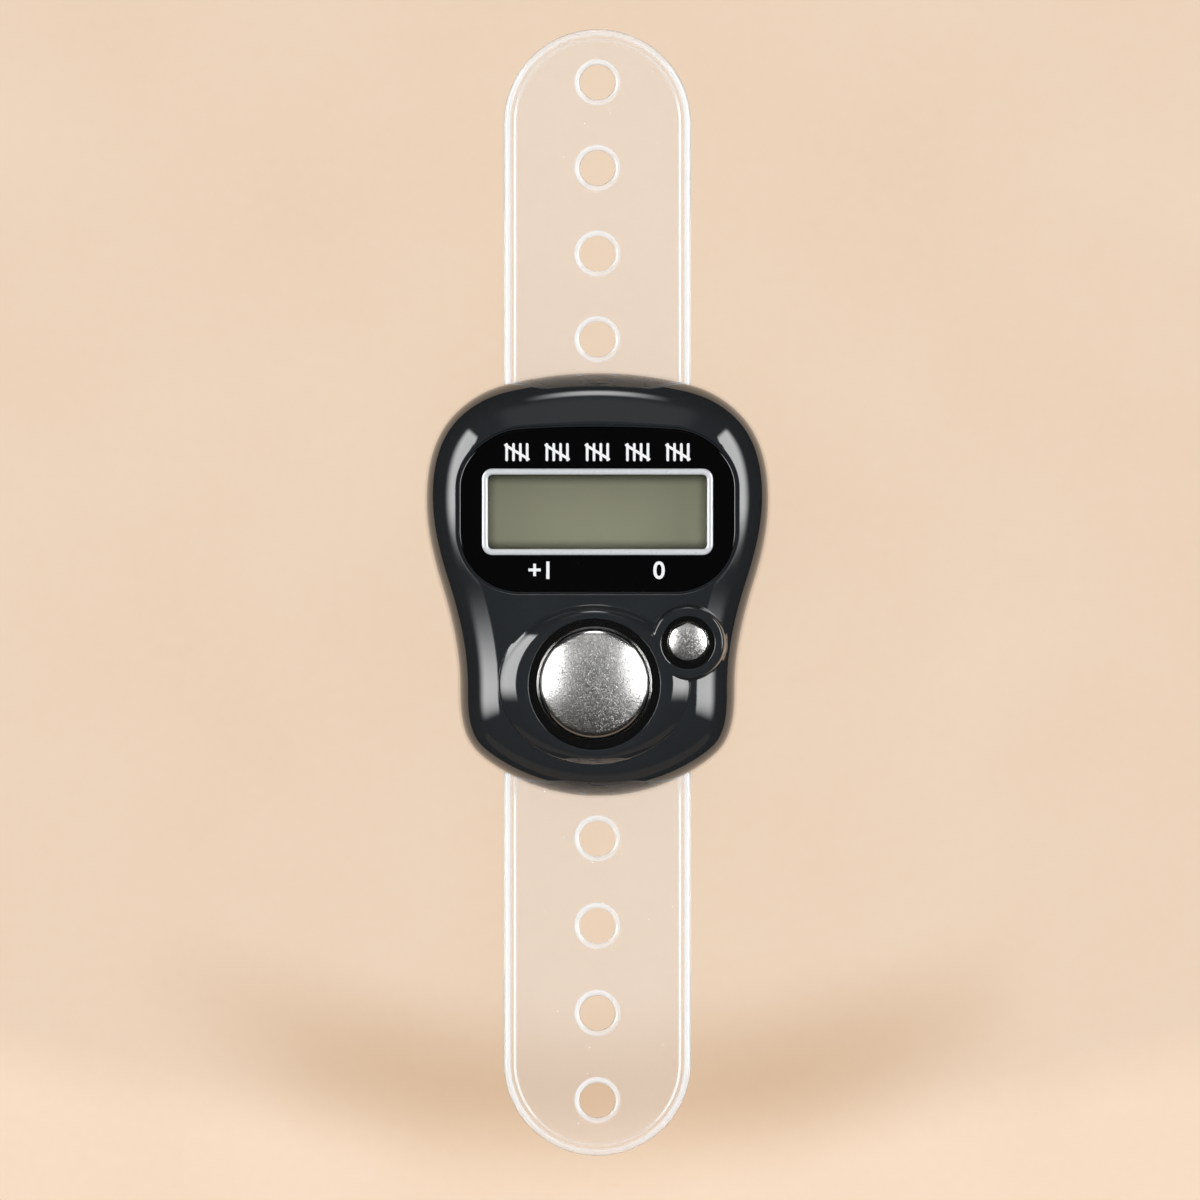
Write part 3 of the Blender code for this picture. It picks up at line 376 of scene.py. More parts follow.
def add_rows(bm, rows, closed=True):
    """A skin through rows of equally many points, closed round or open."""
    made = [[bm.verts.new(p) for p in row] for row in rows]
    for a, b in zip(made, made[1:]):
        for i in range(len(a) - (not closed)):
            j = (i + 1) % len(a)
            bm.faces.new((a[i], a[j], b[j], b[i]))


def edge_rows(wall, radius, height_of, steps=5):
    """Rows that round the edge of a hole, from the surface down to the hole's wall."""
    out = outward(wall)
    near = height_of(wall + out * radius)
    corner = 2 * near - height_of(wall + out * 2 * radius)
    rows = []
    for t in np.linspace(0.0, 1.0, steps + 1):
        height = near * (1 - t) ** 2 + corner * 2 * t * (1 - t) + (corner - radius) * t**2
        rows.append(at_height(wall + out * (radius * (1 - t) ** 2), height))
    return rows


SEAM = 3e-4
SHARP_ANGLE = math.radians(34)


def smooth(mesh):
    """Shades a mesh smooth but for its sharp edges."""
    mesh.shade_smooth()
    mesh.set_sharp_from_angle(angle=SHARP_ANGLE)
    return mesh


def to_mesh(bm, name):
    """A finished mesh in metres, its seams closed and its faces outwards."""
    bmesh.ops.remove_doubles(bm, verts=bm.verts, dist=SEAM)
    bmesh.ops.dissolve_degenerate(bm, edges=bm.edges, dist=1e-5)
    bmesh.ops.recalc_face_normals(bm, faces=bm.faces)
    bmesh.ops.scale(bm, vec=(MM, MM, MM), verts=bm.verts)
    mesh = bpy.data.meshes.new(name)
    bm.to_mesh(mesh)
    bm.free()
    return smooth(mesh)


def add_piece(name, mesh, look, slot, body, *nodes):
    """A finished piece that stands for CAD nodes. Without a body it is left free, to be blended."""
    mesh.materials.clear()
    mesh.materials.append(look)
    obj = add_object(name, mesh)
    if body:
        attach(obj, body)
    if nodes:
        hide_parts(*nodes)
    return obj


def colour(code):
    """An sRGB hex colour as linear red, green, blue and alpha."""
    shares = [int(code[i : i + 2], 16) / 255 for i in (1, 3, 5)]
    return (*(s / 12.92 if s <= 0.04045 else ((s + 0.055) / 1.055) ** 2.4 for s in shares), 1.0)


def add_node(tree, kind, inputs=None, **settings):
    """Adds a node. Inputs are given by name or number: a value, or the node or socket that feeds it."""
    made = tree.nodes.new(kind)
    for name, value in settings.items():
        setattr(made, name, value)
    for name, value in (inputs or {}).items():
        if isinstance(value, bpy.types.Node):
            value = value.outputs[0]
        if isinstance(value, bpy.types.NodeSocket):
            tree.links.new(value, made.inputs[name])
        else:
            made.inputs[name].default_value = value
    return made


def start_material(name, **values):
    """A material with its shader's own values set, ready for its pattern."""
    made = bpy.data.materials.new(name)
    made.use_nodes = True
    shader = made.node_tree.nodes["Principled BSDF"]
    for socket, value in values.items():
        shader.inputs[socket.replace("_", " ")].default_value = value
    place = add_node(made.node_tree, "ShaderNodeTexCoord").outputs["Object"]
    return made, made.node_tree, shader, place


def feed(shader, **sources):
    """Links nodes, or sockets of nodes, to the shader's own sockets."""
    for name, source in sources.items():
        if isinstance(source, bpy.types.Node):
            source = source.outputs[0]
        shader.id_data.links.new(source, shader.inputs[name.replace("_", " ")])


def noise(tree, place, scale, detail=2.0, **values):
    """A noise pattern of so many grains to the metre."""
    return add_node(tree, "ShaderNodeTexNoise", {"Vector": place, "Scale": scale, "Detail": detail, **values})


def ramp(tree, value, first, last, start=0.0, end=1.0, kind="LINEAR"):
    """Goes from the first to the last value as the given value goes from start to end."""
    limits = {"Value": value, 1: start, 2: end, 3: first, 4: last}
    return add_node(tree, "ShaderNodeMapRange", limits, interpolation_type=kind)


def tint(tree, share, first, second, kind="MIX"):
    """A colour between two, each a hex code, a node or a socket."""
    first, second = (colour(end) if isinstance(end, str) else end for end in (first, second))
    mix = add_node(tree, "ShaderNodeMix", {0: share, 6: first, 7: second}, data_type="RGBA", blend_type=kind)
    return mix.outputs[2]


def bump(tree, height, strength, distance):
    """A relief of a height in metres."""
    return add_node(tree, "ShaderNodeBump", {"Height": height, "Strength": strength, "Distance": distance})


# Injection-moulded ABS, high gloss: a dense charcoal, mirror-like, with the faint waviness of the mould's
# polish (about 2 mm) and rub marks that dull it a little here and there (about 0.4 mm).
abs_look, tree, shader, place = start_material("charcoal gloss ABS, moulded", IOR=1.53, Roughness=0.06)
feed(
    shader,
    Base_Color=tint(tree, noise(tree, place, 140.0, 3.0), "#25282B", "#2B2E31"),
    Roughness=ramp(tree, noise(tree, place, 2500.0, 4.0), 0.045, 0.10, 0.45, 0.8),
    Normal=bump(tree, noise(tree, place, 480.0, 1.0), 0.5, 1.2e-6),
)

RIM_TURN = 53.0
RIM_ROWS = 22
EDGE_RADIUS = 0.2
COUNT_STEPS = 240
RESET_STEPS = 144

bm = bmesh.new()
rows = [
    at_height(housing_outline(WALL), LID_Z),
    at_height(housing_outline(WALL), PARTING_Z),
    at_height(housing_outline(PARTING_CHAMFER), PARTING_Z),
    at_height(edge_line, PARTING_Z + PARTING_CHAMFER),
    at_height(edge_line, ROUND_Z),
]
rim_inset = EDGE_INSET / (1 - math.cos(math.radians(RIM_TURN)))
for turn in np.radians(np.linspace(0.0, RIM_TURN, RIM_ROWS)[1:]):
    loop = housing_outline(rim_inset * (1 - math.cos(turn)))
    rows.append(at_height(loop, face_height(loop)))
add_rows(bm, rows)
edge_loop = rows[-1][:, :2]

recess_wall = panel_outline(RECESS_GAP)
count_wall = circle(COUNT_MIDDLE, COUNT_HOLE, COUNT_STEPS)
reset_wall = circle(RESET_MIDDLE, RESET_HOLE, RESET_STEPS)
edges = [edge_rows(wall, EDGE_RADIUS, face_height) for wall in (recess_wall, count_wall, reset_wall)]

# The face's inner points: rings on the collar, ovals on the mound, lines along the rim and a grid elsewhere.
# A stretch is a start, an end and a step.
COLLAR_RINGS = ((2.42, 2.62, 0.06), (2.62, 3.24, 0.035))
COLLAR_TURNS = 150
MOUND_OVALS = ((-0.14, -0.03, 0.02), (-0.03, 0.03, 0.004), (0.03, 1.08, 0.035))
MOUND_TURNS = 320
RIM_LINES = (EDGE_INSET + 0.2, 4.4, 0.2)
FACE_GRID = ((-9.6, 9.6, 0.4), (-13.0, 14.0, 0.4))
GRID_DEPTH = 4.45
MOUND_FROM_COLLAR = 3.25
MOUND_FROM_HOLE = 0.26
RIM_FROM_COLLAR = 3.28
RIM_FROM_MOUND = -0.17
FROM_EDGE = 0.12


def stations(*stretches):
    """Values along stretches."""
    return np.concatenate([np.arange(*stretch) for stretch in stretches])


collar_zone = [circle(RESET_MIDDLE, radius, COLLAR_TURNS) for radius in stations(*COLLAR_RINGS)]
turns = np.linspace(0.0, math.tau, MOUND_TURNS, endpoint=False)
mound_zone = []
for share in stations(*MOUND_OVALS):
    wide, tall = mound_oval(share)
    mound_zone.append(np.column_stack([wide * np.cos(turns), tall * np.sin(turns)]) + COUNT_MIDDLE)
mound_zone = np.vstack(mound_zone)
past_collar = from_middle(mound_zone, RESET_MIDDLE) > MOUND_FROM_COLLAR
past_hole = from_middle(mound_zone, COUNT_MIDDLE) > COUNT_HOLE + MOUND_FROM_HOLE
mound_zone = mound_zone[past_collar & past_hole]

rim_zone = np.vstack([housing_outline(inset) for inset in np.arange(*RIM_LINES)])
face_zone = np.array([(x, y) for x in np.arange(*FACE_GRID[0]) for y in np.arange(*FACE_GRID[1])])
rim_zone = np.vstack([rim_zone, face_zone[depth_inside(face_zone) > GRID_DEPTH]])
past_collar = from_middle(rim_zone, RESET_MIDDLE) > RIM_FROM_COLLAR
rim_zone = rim_zone[past_collar & (mound_share(rim_zone) < RIM_FROM_MOUND)]

inner = np.vstack([*collar_zone, mound_zone, rim_zone])
past_recess = ~within(inner, panel_outline(RECESS_GAP + EDGE_RADIUS + FROM_EDGE))
inner = inner[(depth_inside(inner) > EDGE_INSET + FROM_EDGE) & past_recess]
add_patch(bm, edge_loop, [edge[0][:, :2] for edge in edges], face_height, inner)

VIEW_MIDDLE_Y = 6.61
OPENING_HALF = (9.33, 3.40)
OPENING_CORNER = 0.2
OPENING_POINTS = 160
FLANGE_SEAT_Z = 11.5
COUNT_WIDE = 5.70
RESET_WIDE = 2.50

y_range = (VIEW_MIDDLE_Y - OPENING_HALF[1], VIEW_MIDDLE_Y + OPENING_HALF[1])
opening = rounded_box(OPENING_HALF[0], y_range, OPENING_CORNER, OPENING_POINTS)
add_rows(bm, [*edges[0], at_height(recess_wall, RECESS_FLOOR_Z)])
add_patch(bm, recess_wall, [opening], lambda p: RECESS_FLOOR_Z)
add_rows(bm, [at_height(opening, RECESS_FLOOR_Z), at_height(opening, LID_Z)])
shoulders = []
for hole_rows, middle, wide in zip(edges[1:], (COUNT_MIDDLE, RESET_MIDDLE), (COUNT_WIDE, RESET_WIDE)):
    hole = hole_rows[-1][:, :2]
    shoulder = circle(middle, wide, len(hole))
    levels = ((hole, FLANGE_SEAT_Z), (shoulder, FLANGE_SEAT_Z), (shoulder, LID_Z))
    add_rows(bm, [*hole_rows, *(at_height(loop, z) for loop, z in levels)])
    shoulders.append(shoulder)
add_patch(bm, housing_outline(WALL), [opening, *shoulders], lambda p: LID_Z)
add_piece("front_shell", to_mesh(bm, "front_shell"), abs_look, "charcoal_abs", "case", "front_housing")


# REAR HOUSING
# The other moulded half, of the same ABS: a shallow tray with a rounded back, a groove for the strap across
# it and a bridge that the strap is threaded under. Four screws from behind draw it up to the front half.

REAR_ROUND = 2.8
REAR_STEPS = 12
SPLIT_Z = 5.2
FLOOR_Z = 3.1
GROOVE_HALF = 8.05
GROOVE_Z = 2.2
BRIDGE_Z = 0.9
BRIDGE_Y = (-7.35, 8.65)
SCREW_PLACES = ((-6.3, 13.9), (6.3, 13.9), (-6.3, -12.9), (6.3, -12.9))
SCREW_SEAT_Z = 3.25
SCREW_HOLE = (1.65, 0.95)
SCREW_HOLE_Z = (1.0, 4.0)
SCREW_HOLE_STEPS = 48
OUTSIDE = 20.0
BELOW = -1.0


def plain_mesh(obj):
    """The plain mesh that an object's modifiers make."""
    return bpy.data.meshes.new_from_object(obj.evaluated_get(bpy.context.evaluated_depsgraph_get()))


def cut_from(mesh, *tools):
    """The mesh with closed tools cut out of it."""
    body = add_object("blank", mesh)
    for tool in tools:
        cutter = add_object("cutter", tool)
        step = body.modifiers.new("cut", "BOOLEAN")
        step.operation, step.solver, step.object = "DIFFERENCE", "EXACT", cutter
        made = plain_mesh(body)
        body.modifiers.clear()
        body.data = made
        bpy.data.objects.remove(cutter)
    bpy.data.objects.remove(body)
    return smooth(made)


def solid(rows):
    """A closed solid through rows of points, its two ends filled flat."""
    bm = bmesh.new()
    add_rows(bm, rows)
    bmesh.ops.remove_doubles(bm, verts=bm.verts, dist=SEAM)
    bmesh.ops.holes_fill(bm, edges=[e for e in bm.edges if e.is_boundary])
    return bm


def turned(profile, middle, steps):
    """A profile of radius and height turned about an upright axis."""
    bm = bmesh.new()
    add_rows(bm, [at_height(circle(middle, max(radius, 1e-5), steps), height) for radius, height in profile])
    bmesh.ops.remove_doubles(bm, verts=bm.verts, dist=1e-4)
    return bm


rows = [at_height(housing_outline(WALL), FLOOR_Z), at_height(housing_outline(WALL), SPLIT_Z)]
rows.append(at_height(housing_outline(PARTING_CHAMFER), SPLIT_Z))
rows.append(at_height(edge_line, SPLIT_Z - PARTING_CHAMFER))
for turn in np.radians(np.linspace(0.0, 90.0, REAR_STEPS)):
    inset = REAR_ROUND * (1 - math.cos(turn))
    rows.append(at_height(housing_outline(inset), REAR_ROUND * (1 - math.sin(turn))))
tray = to_mesh(solid(rows), "rear_shell")
groove_profile = (
    (-OUTSIDE, BELOW), (BRIDGE_Y[0], BELOW), (BRIDGE_Y[0], BRIDGE_Z), (BRIDGE_Y[1], BRIDGE_Z),
    (BRIDGE_Y[1], BELOW), (OUTSIDE, BELOW), (OUTSIDE, GROOVE_Z), (-OUTSIDE, GROOVE_Z),
)
groove = solid([[(x, y, z) for y, z in groove_profile] for x in (-GROOVE_HALF, GROOVE_HALF)])
wide, narrow = SCREW_HOLE
low, high = SCREW_HOLE_Z
screw_hole = [(0.0, low), (wide, low), (wide, SCREW_SEAT_Z)]
screw_hole += [(narrow, SCREW_SEAT_Z), (narrow, high), (0.0, high)]
holes = bmesh.new()
for place in SCREW_PLACES:
    one = bpy.data.meshes.new("hole")
    bored = turned(screw_hole, place, SCREW_HOLE_STEPS)
    bored.to_mesh(one)
    bored.free()
    holes.from_mesh(one)
tray = cut_from(tray, to_mesh(groove, "groove"), to_mesh(holes, "screw holes"))
add_piece("rear_shell", tray, abs_look, "charcoal_abs", "case", "rear_housing")


# HOUSING SCREWS
# Four zinc-plated steel self-tapping screws with a rounded head and a cross recess, sunk in the groove of the
# strap, two beyond each end of the bridge.

HEAD_RADIUS = 1.5
HEAD_HEIGHT = 0.9
HEAD_CROWN = 0.5
HEAD_STEPS = 9
SHANK_RADIUS = 0.85
SHANK_LENGTH = 5.5
POINT_RADIUS = 0.3
POINT_LENGTH = 0.8
CROSS = (0.2, 0.9)
CROSS_DEPTH = 0.5
SCREW_STEPS = 40
SCREW_Z = SCREW_SEAT_Z - 0.1
HEAD_Z = SCREW_Z - HEAD_HEIGHT
TIP_Z = SCREW_Z + SHANK_LENGTH

# Rolled steel with a bright zinc plating: light grey metal, fine tool marks, about 0.1 mm apart.
zinc, tree, shader, place = start_material("zinc plated steel, rolled", Metallic=1.0, Roughness=0.3)
marks = noise(tree, place, 9000.0)
feed(shader, Base_Color=tint(tree, marks, "#9C9DA0", "#C4C5C6"), Roughness=ramp(tree, marks, 0.2, 0.42))

profile = []
for turn in np.linspace(0.0, math.pi / 2, HEAD_STEPS):
    profile.append((HEAD_RADIUS * math.sin(turn), HEAD_Z + HEAD_CROWN * (1 - math.cos(turn))))
profile += [(HEAD_RADIUS, SCREW_Z), (SHANK_RADIUS, SCREW_Z), (SHANK_RADIUS, TIP_Z - POINT_LENGTH)]
profile += [(POINT_RADIUS, TIP_Z), (0.0, TIP_Z)]
blank = to_mesh(turned(profile, (0, 0), SCREW_STEPS), "screw")
arm, tip = CROSS
cross = [(tip, -arm), (tip, arm), (arm, arm), (arm, tip), (-arm, tip), (-arm, arm)]
cross += [(-x, -y) for x, y in cross]
levels = (HEAD_Z - 2 * CROSS_DEPTH, HEAD_Z + CROSS_DEPTH)
screw = cut_from(blank, to_mesh(solid([[(x, y, z) for x, y in cross] for z in levels]), "recess"))


def new_tree(name, *sockets):
    """A geometry tree with its input and output and named size inputs, each a name and a kind."""
    made = bpy.data.node_groups.new(name, "GeometryNodeTree")
    made.interface.new_socket("Geometry", in_out="INPUT", socket_type="NodeSocketGeometry")
    for label, kind in sockets:
        made.interface.new_socket(label, in_out="INPUT", socket_type=f"NodeSocket{kind}")
    made.interface.new_socket("Geometry", in_out="OUTPUT", socket_type="NodeSocketGeometry")
    return made, add_node(made, "NodeGroupInput").outputs


def reckon(tree, operation, *values):
    """One step of arithmetic on numbers, nodes or sockets."""
    return add_node(tree, "ShaderNodeMath", dict(enumerate(values)), operation=operation)


def vector(tree, **parts):
    """A vector from its X, Y and Z."""
    return add_node(tree, "ShaderNodeCombineXYZ", parts)


def in_line(tree, shape, count, start, offset, mode="OFFSET"):
    """Copies of a shape along a line."""
    limits = {"Count": count, "Start Location": start, "Offset": offset}
    line = add_node(tree, "GeometryNodeMeshLine", limits, mode=mode)
    return add_node(tree, "GeometryNodeInstanceOnPoints", {"Points": line, "Instance": shape})


def end_tree(tree, geometry, look):
    """Ends a geometry tree in real geometry of one material."""
    real = add_node(tree, "GeometryNodeRealizeInstances", {0: geometry})
    dressed = add_node(tree, "GeometryNodeSetMaterial", {"Geometry": real, "Material": look})
    add_node(tree, "NodeGroupOutput", {0: dressed})


def grow(mesh, tree, values):
    """The plain mesh that a geometry tree makes of a mesh, with its inputs set by name."""
    obj = add_object("seed", mesh)
    step = obj.modifiers.new("tree", "NODES")
    step.node_group = tree
    for item in tree.interface.items_tree:
        if item.in_out == "INPUT" and item.name in values:
            step[item.identifier] = values[item.name]
    made = plain_mesh(obj)
    bpy.data.objects.remove(obj)
    return made


sizes = [(label, "Float") for label in ("Half width", "Top", "Bottom")]
tree, given = new_tree("screws at four corners", *sizes)
left = reckon(tree, "MULTIPLY", given["Half width"], -1.0)
joined = add_node(tree, "GeometryNodeJoinGeometry")
for end in ("Top", "Bottom"):
    ends = [vector(tree, X=x, Y=given[end]) for x in (left, given["Half width"])]
    pair = in_line(tree, given["Geometry"], 2, *ends, mode="END_POINTS")
    tree.links.new(pair.outputs[0], joined.inputs[0])
end_tree(tree, joined, zinc)
(corner_x, top_y), (_, bottom_y) = SCREW_PLACES[1:3]
corners = {"Half width": corner_x * MM, "Top": top_y * MM, "Bottom": bottom_y * MM}
screws = grow(screw, tree, corners)
add_piece(
    "housing_screws", screws, zinc, "zinc_steel", "case",
    "housing_screw_1", "housing_screw_2", "housing_screw_3", "housing_screw_4",
)


# DISPLAY PANEL
# A black gloss acrylic panel, printed black from behind, laser cut with softened edges and glued in its
# recess. White ink on it marks the count with groups of tally strokes, and the buttons with +1 and 0.

PANEL_Z = (10.8, 11.8)
PANEL_EDGE = 0.22
PANEL_EDGE_STEPS = 8
BEAD_WIDTH = 0.5
BEAD_CORNER = 0.85
BEAD_POINTS = 240
VIEW_HALF = (8.98, 3.05)

# Cast acrylic over black print: near black and mirror smooth, with hardly any dust (specks of 0.15 mm).
panel_look, tree, shader, place = start_material("black gloss acrylic, cast", IOR=1.49, Roughness=0.03)
specks = noise(tree, place, 7000.0)
dust = ramp(tree, specks, 0.02, 0.14, 0.62, 0.8)
feed(shader, Base_Color=tint(tree, specks, "#060607", "#09090A"), Roughness=dust)


def window_loop(out):
    """A loop round the view, drawn out by a distance."""
    y_range = (VIEW_MIDDLE_Y - VIEW_HALF[1] - out, VIEW_MIDDLE_Y + VIEW_HALF[1] + out)
    return rounded_box(VIEW_HALF[0] + out, y_range, BEAD_CORNER - BEAD_WIDTH + out, BEAD_POINTS)


bead_hole = window_loop(BEAD_WIDTH)
bm = bmesh.new()
rows = [at_height(panel_outline(0.0), PANEL_Z[0])]
for turn in np.radians(np.linspace(0.0, 90.0, PANEL_EDGE_STEPS)):
    loop = panel_outline(PANEL_EDGE * (math.cos(turn) - 1))
    rows.append(at_height(loop, PANEL_Z[1] - PANEL_EDGE * (1 - math.sin(turn))))
add_rows(bm, rows)
add_patch(bm, rows[-1][:, :2], [bead_hole], lambda p: PANEL_Z[1])
add_patch(bm, rows[0][:, :2], [bead_hole], lambda p: PANEL_Z[0])
add_rows(bm, [at_height(bead_hole, z) for z in PANEL_Z])
add_piece("display_panel", to_mesh(bm, "display_panel"), panel_look, "black_panel", "case", "display_bezel")

# Screen-printed ink: dense matt white, its edges slightly uneven (0.1 mm).
ink, tree, shader, place = start_material("white screen ink, printed", Roughness=0.45)
feed(shader, Base_Color=tint(tree, noise(tree, place, 10000.0), "#E9EBEE", "#FFFFFF"))

INK_Z = (11.79, 11.815)
STROKE = (0.22, 1.5)
STROKE_CORNER = 0.1
STROKE_POINTS = 40
TALLY_Y = 11.5
LETTER_SIZE = 2.0
LETTER_SWELL = 0.035
LETTER_STEPS = 8
LETTER_Y = 1.74


def centred(tree, shape, count, pitch):
    """Copies of a shape in a line across the counter, on both sides of its middle."""
    span = reckon(tree, "MULTIPLY", reckon(tree, "ADD", count, -1.0), pitch)
    start = vector(tree, X=reckon(tree, "MULTIPLY", span, -0.5))
    return in_line(tree, shape, count, start, vector(tree, X=pitch))


stroke = rounded_box(STROKE[0] / 2, (-STROKE[1] / 2, STROKE[1] / 2), STROKE_CORNER, STROKE_POINTS)
bar = to_mesh(solid([at_height(stroke, z) for z in INK_Z]), "stroke")
tree, given = new_tree(
    "tally strokes",
    ("Strokes", "Int"), ("Stroke pitch", "Float"), ("Groups", "Int"), ("Group pitch", "Float"),
    ("Slant", "Float"), ("Slash length", "Float"), ("Slash lift", "Float"), ("Middle", "Vector"),
)
upright = centred(tree, given["Geometry"], given["Strokes"], given["Stroke pitch"])
slanted = {
    "Geometry": given["Geometry"],
    "Translation": vector(tree, Z=given["Slash lift"]),
    "Rotation": vector(tree, Z=given["Slant"]),
    "Scale": vector(tree, X=1.0, Y=given["Slash length"], Z=1.0),
}
slash = add_node(tree, "GeometryNodeTransform", slanted)
group = add_node(tree, "GeometryNodeJoinGeometry", {0: upright})
tree.links.new(slash.outputs[0], group.inputs[0])
groups = centred(tree, group, given["Groups"], given["Group pitch"])
placed = add_node(tree, "GeometryNodeTransform", {"Geometry": groups, "Translation": given["Middle"]})
end_tree(tree, placed, ink)
tally_sizes = {
    "Strokes": 4,
    "Stroke pitch": 0.56 * MM,
    "Groups": 5,
    "Group pitch": 3.3 * MM,
    "Slant": math.radians(59),
    "Slash length": 1.62,
    "Slash lift": 0.008 * MM,
    "Middle": (0.0, TALLY_Y * MM, 0.0),
}
tally = grow(bar, tree, tally_sizes)
tally.shade_flat()
add_piece("tally_print", tally, ink, "black_panel", "case")

for name, words, x in (("plus_one_print", "+1", -4.65), ("zero_print", "0", 5.05)):
    text = bpy.data.curves.new(name, "FONT")
    text.body = words
    text.align_x, text.align_y = "CENTER", "CENTER"
    text.size = LETTER_SIZE * MM
    text.offset = LETTER_SWELL * MM
    text.extrude = (INK_Z[1] - INK_Z[0]) / 2 * MM
    text.resolution_u = LETTER_STEPS
    typed = add_object("typed", text)
    printed = plain_mesh(typed)
    bpy.data.objects.remove(typed)
    bm = bmesh.new()
    bm.from_mesh(printed)
    bmesh.ops.remove_doubles(bm, verts=bm.verts, dist=1e-7)
    bmesh.ops.dissolve_degenerate(bm, edges=bm.edges, dist=1e-6)
    bmesh.ops.translate(bm, vec=(x * MM, LETTER_Y * MM, sum(INK_Z) / 2 * MM), verts=bm.verts)
    bm.to_mesh(printed)
    bm.free()
    add_piece(name, printed, ink, "black_panel", "case")


# WINDOW FRAME
# A thin bead round the display window, moulded and hot-stamped in bright silver, pressed into the opening of
# the panel. Its crown stands a little above the panel.

BEAD_Z = (10.8, 11.95)
BEAD_CROWN = 0.22
BEAD_STEPS = 13

# Hot-stamped silver foil on ABS: pale, softly mirroring, with a faint grain (0.2 mm).
silver, tree, shader, place = start_material(
    "silver foil, hot stamped", Metallic=0.15, Roughness=0.28, IOR=1.5
)
grain = noise(tree, place, 5000.0)
feed(shader, Base_Color=tint(tree, grain, "#D9DCE1", "#ECEEF1"), Roughness=ramp(tree, grain, 0.22, 0.4))

bm = bmesh.new()
section = [(0.0, BEAD_Z[0])]
for turn in np.linspace(math.pi, 0.0, BEAD_STEPS):
    out = BEAD_WIDTH / 2 * (1 + math.cos(turn))
    section.append((out, BEAD_Z[1] - BEAD_CROWN * (1 - math.sin(turn))))
section.append((BEAD_WIDTH, BEAD_Z[0]))
add_rows(bm, [at_height(window_loop(out), z) for out, z in [*section, section[0]]])
add_piece("window_bead", to_mesh(bm, "window_bead"), silver, "bright_bead", "case", "window_frame")


# DISPLAY
# Behind a clear acrylic pane lies the liquid-crystal cell under its polarising film. It is blank. Painted
# shade darkens the film towards its edges, as if the window frame kept light from them.

# How far in from the view's edges the painted shade on the film reaches.
EDGE_FADE = 0.9

nodes = frame["nodes"]


def dress(look, *names):
    """Gives carried-over nodes their material."""
    for name in names:
        nodes[name].data.materials.clear()
        nodes[name].data.materials.append(look)


# Polariser film over a reflector: olive grey, satin, with a fine mottle (0.15 mm). Painted shade darkens it
# towards the edges of the view, most at its top and bottom edges.
film, tree, shader, place = start_material("olive polariser film, cast", Roughness=0.42)
split = add_node(tree, "ShaderNodeSeparateXYZ", {0: place})
# Painted shade: a factor that falls from 1 to its least towards each edge of the view.
shade = 1.0
for along, middle, half, least in zip(split.outputs, (0.0, VIEW_MIDDLE_Y), VIEW_HALF, (0.5, 0.3)):
    away = reckon(tree, "ABSOLUTE", reckon(tree, "SUBTRACT", along, middle * MM))
    lit = ramp(tree, away, 1.0, least, (half - EDGE_FADE) * MM, half * MM, "SMOOTHSTEP")
    shade = reckon(tree, "MULTIPLY", lit, shade)
mottle = tint(tree, noise(tree, place, 6500.0), "#80816C", "#8C8D78")
feed(shader, Base_Color=tint(tree, 1.0, mottle, shade, "MULTIPLY"))
dress(film, "lcd_polariser")

# Clear acrylic pane: colourless and polished, with the faintest waviness (3 mm).
pane, tree, shader, place = start_material(
    "clear acrylic pane, polished", IOR=1.49, Roughness=0.02, Transmission_Weight=1.0
)
feed(shader, Normal=bump(tree, noise(tree, place, 300.0), 0.3, 1e-6))
dress(pane, "display_window")
nodes["display_window"].visible_shadow = False


# INNER PARTS
# The board and what it carries, the cell and its contacts, the contact pills and the display's lower layers,
# all closed in by the housing. Each keeps its own shape and has the finish of the real part.

INNER = (  # name, first colour, second colour, metallic, roughness, grain per metre, nodes
    ("display glass, float", "#98A090", "#A4AB9A", 0.0, 0.06, 800.0, ("lcd_front_glass", "lcd_rear_glass")),
    ("aluminised foil, rolled", "#C6C6BE", "#D6D6CE", 0.9, 0.35, 4000.0, ("lcd_reflector",)),
    ("striped silicone, moulded", "#E0C4C2", "#34302F", 0.0, 0.6, 9000.0, ("zebra_connector",)),
    ("white ABS, moulded", "#DEDEDA", "#E8E8E4", 0.0, 0.4, 900.0, ("lcd_holder",)),
    ("green glass-epoxy laminate, etched", "#15562F", "#1E6B3B", 0.0, 0.4, 2400.0, ("circuit_board",)),
    ("black epoxy, potted", "#101010", "#1A1A1A", 0.0, 0.35, 1500.0, ("chip_blob",)),
    ("tan ceramic, fired", "#A0845F", "#B29570", 0.0, 0.45, 5000.0, ("capacitor",)),
    ("black resistor film, fired", "#17171A", "#232326", 0.0, 0.4, 5000.0, ("resistor",)),
    ("carbon ink, cured", "#151515", "#222222", 0.0, 0.7, 6000.0, ("count_pill", "reset_pill")),
    ("stainless steel, drawn", "#B8B9BB", "#CBCCCD", 1.0, 0.26, 3500.0, ("cell_can", "cell_cap")),
    ("grey nylon, moulded", "#8C8C8C", "#9A9A9A", 0.0, 0.5, 2500.0, ("cell_gasket",)),
    (
        "nickel silver strip, rolled", "#CFCAB8", "#DED9C8", 1.0, 0.25, 3000.0,
        ("battery_contact_positive", "battery_contact_negative"),
    ),
)
for name, first, second, metallic, roughness, scale, held in INNER:
    look, tree, shader, place = start_material(name, Metallic=metallic, Roughness=roughness)
    grain = noise(tree, place, scale)
    matt = ramp(tree, grain, roughness * 0.8, roughness * 1.2)
    feed(shader, Base_Color=tint(tree, grain, first, second), Roughness=matt)
    dress(look, *held)
dress(zinc, "board_screw_1", "board_screw_2", "board_screw_3", "board_screw_4")


# KEY DOMES
# Two small domes of grey silicone on the board, one under each button, which hold it up. A thin web joins the
# solid top to the foot, and the carbon pill hangs inside.

DOME_Z = 7.75
DOME_HEIGHT = 2.2
DOME_FOOT = 0.5
DOME_WEB = 0.4
DOME_ROUND = 0.15
DOME_ROUND_STEPS = 5
DOME_STEPS = 72

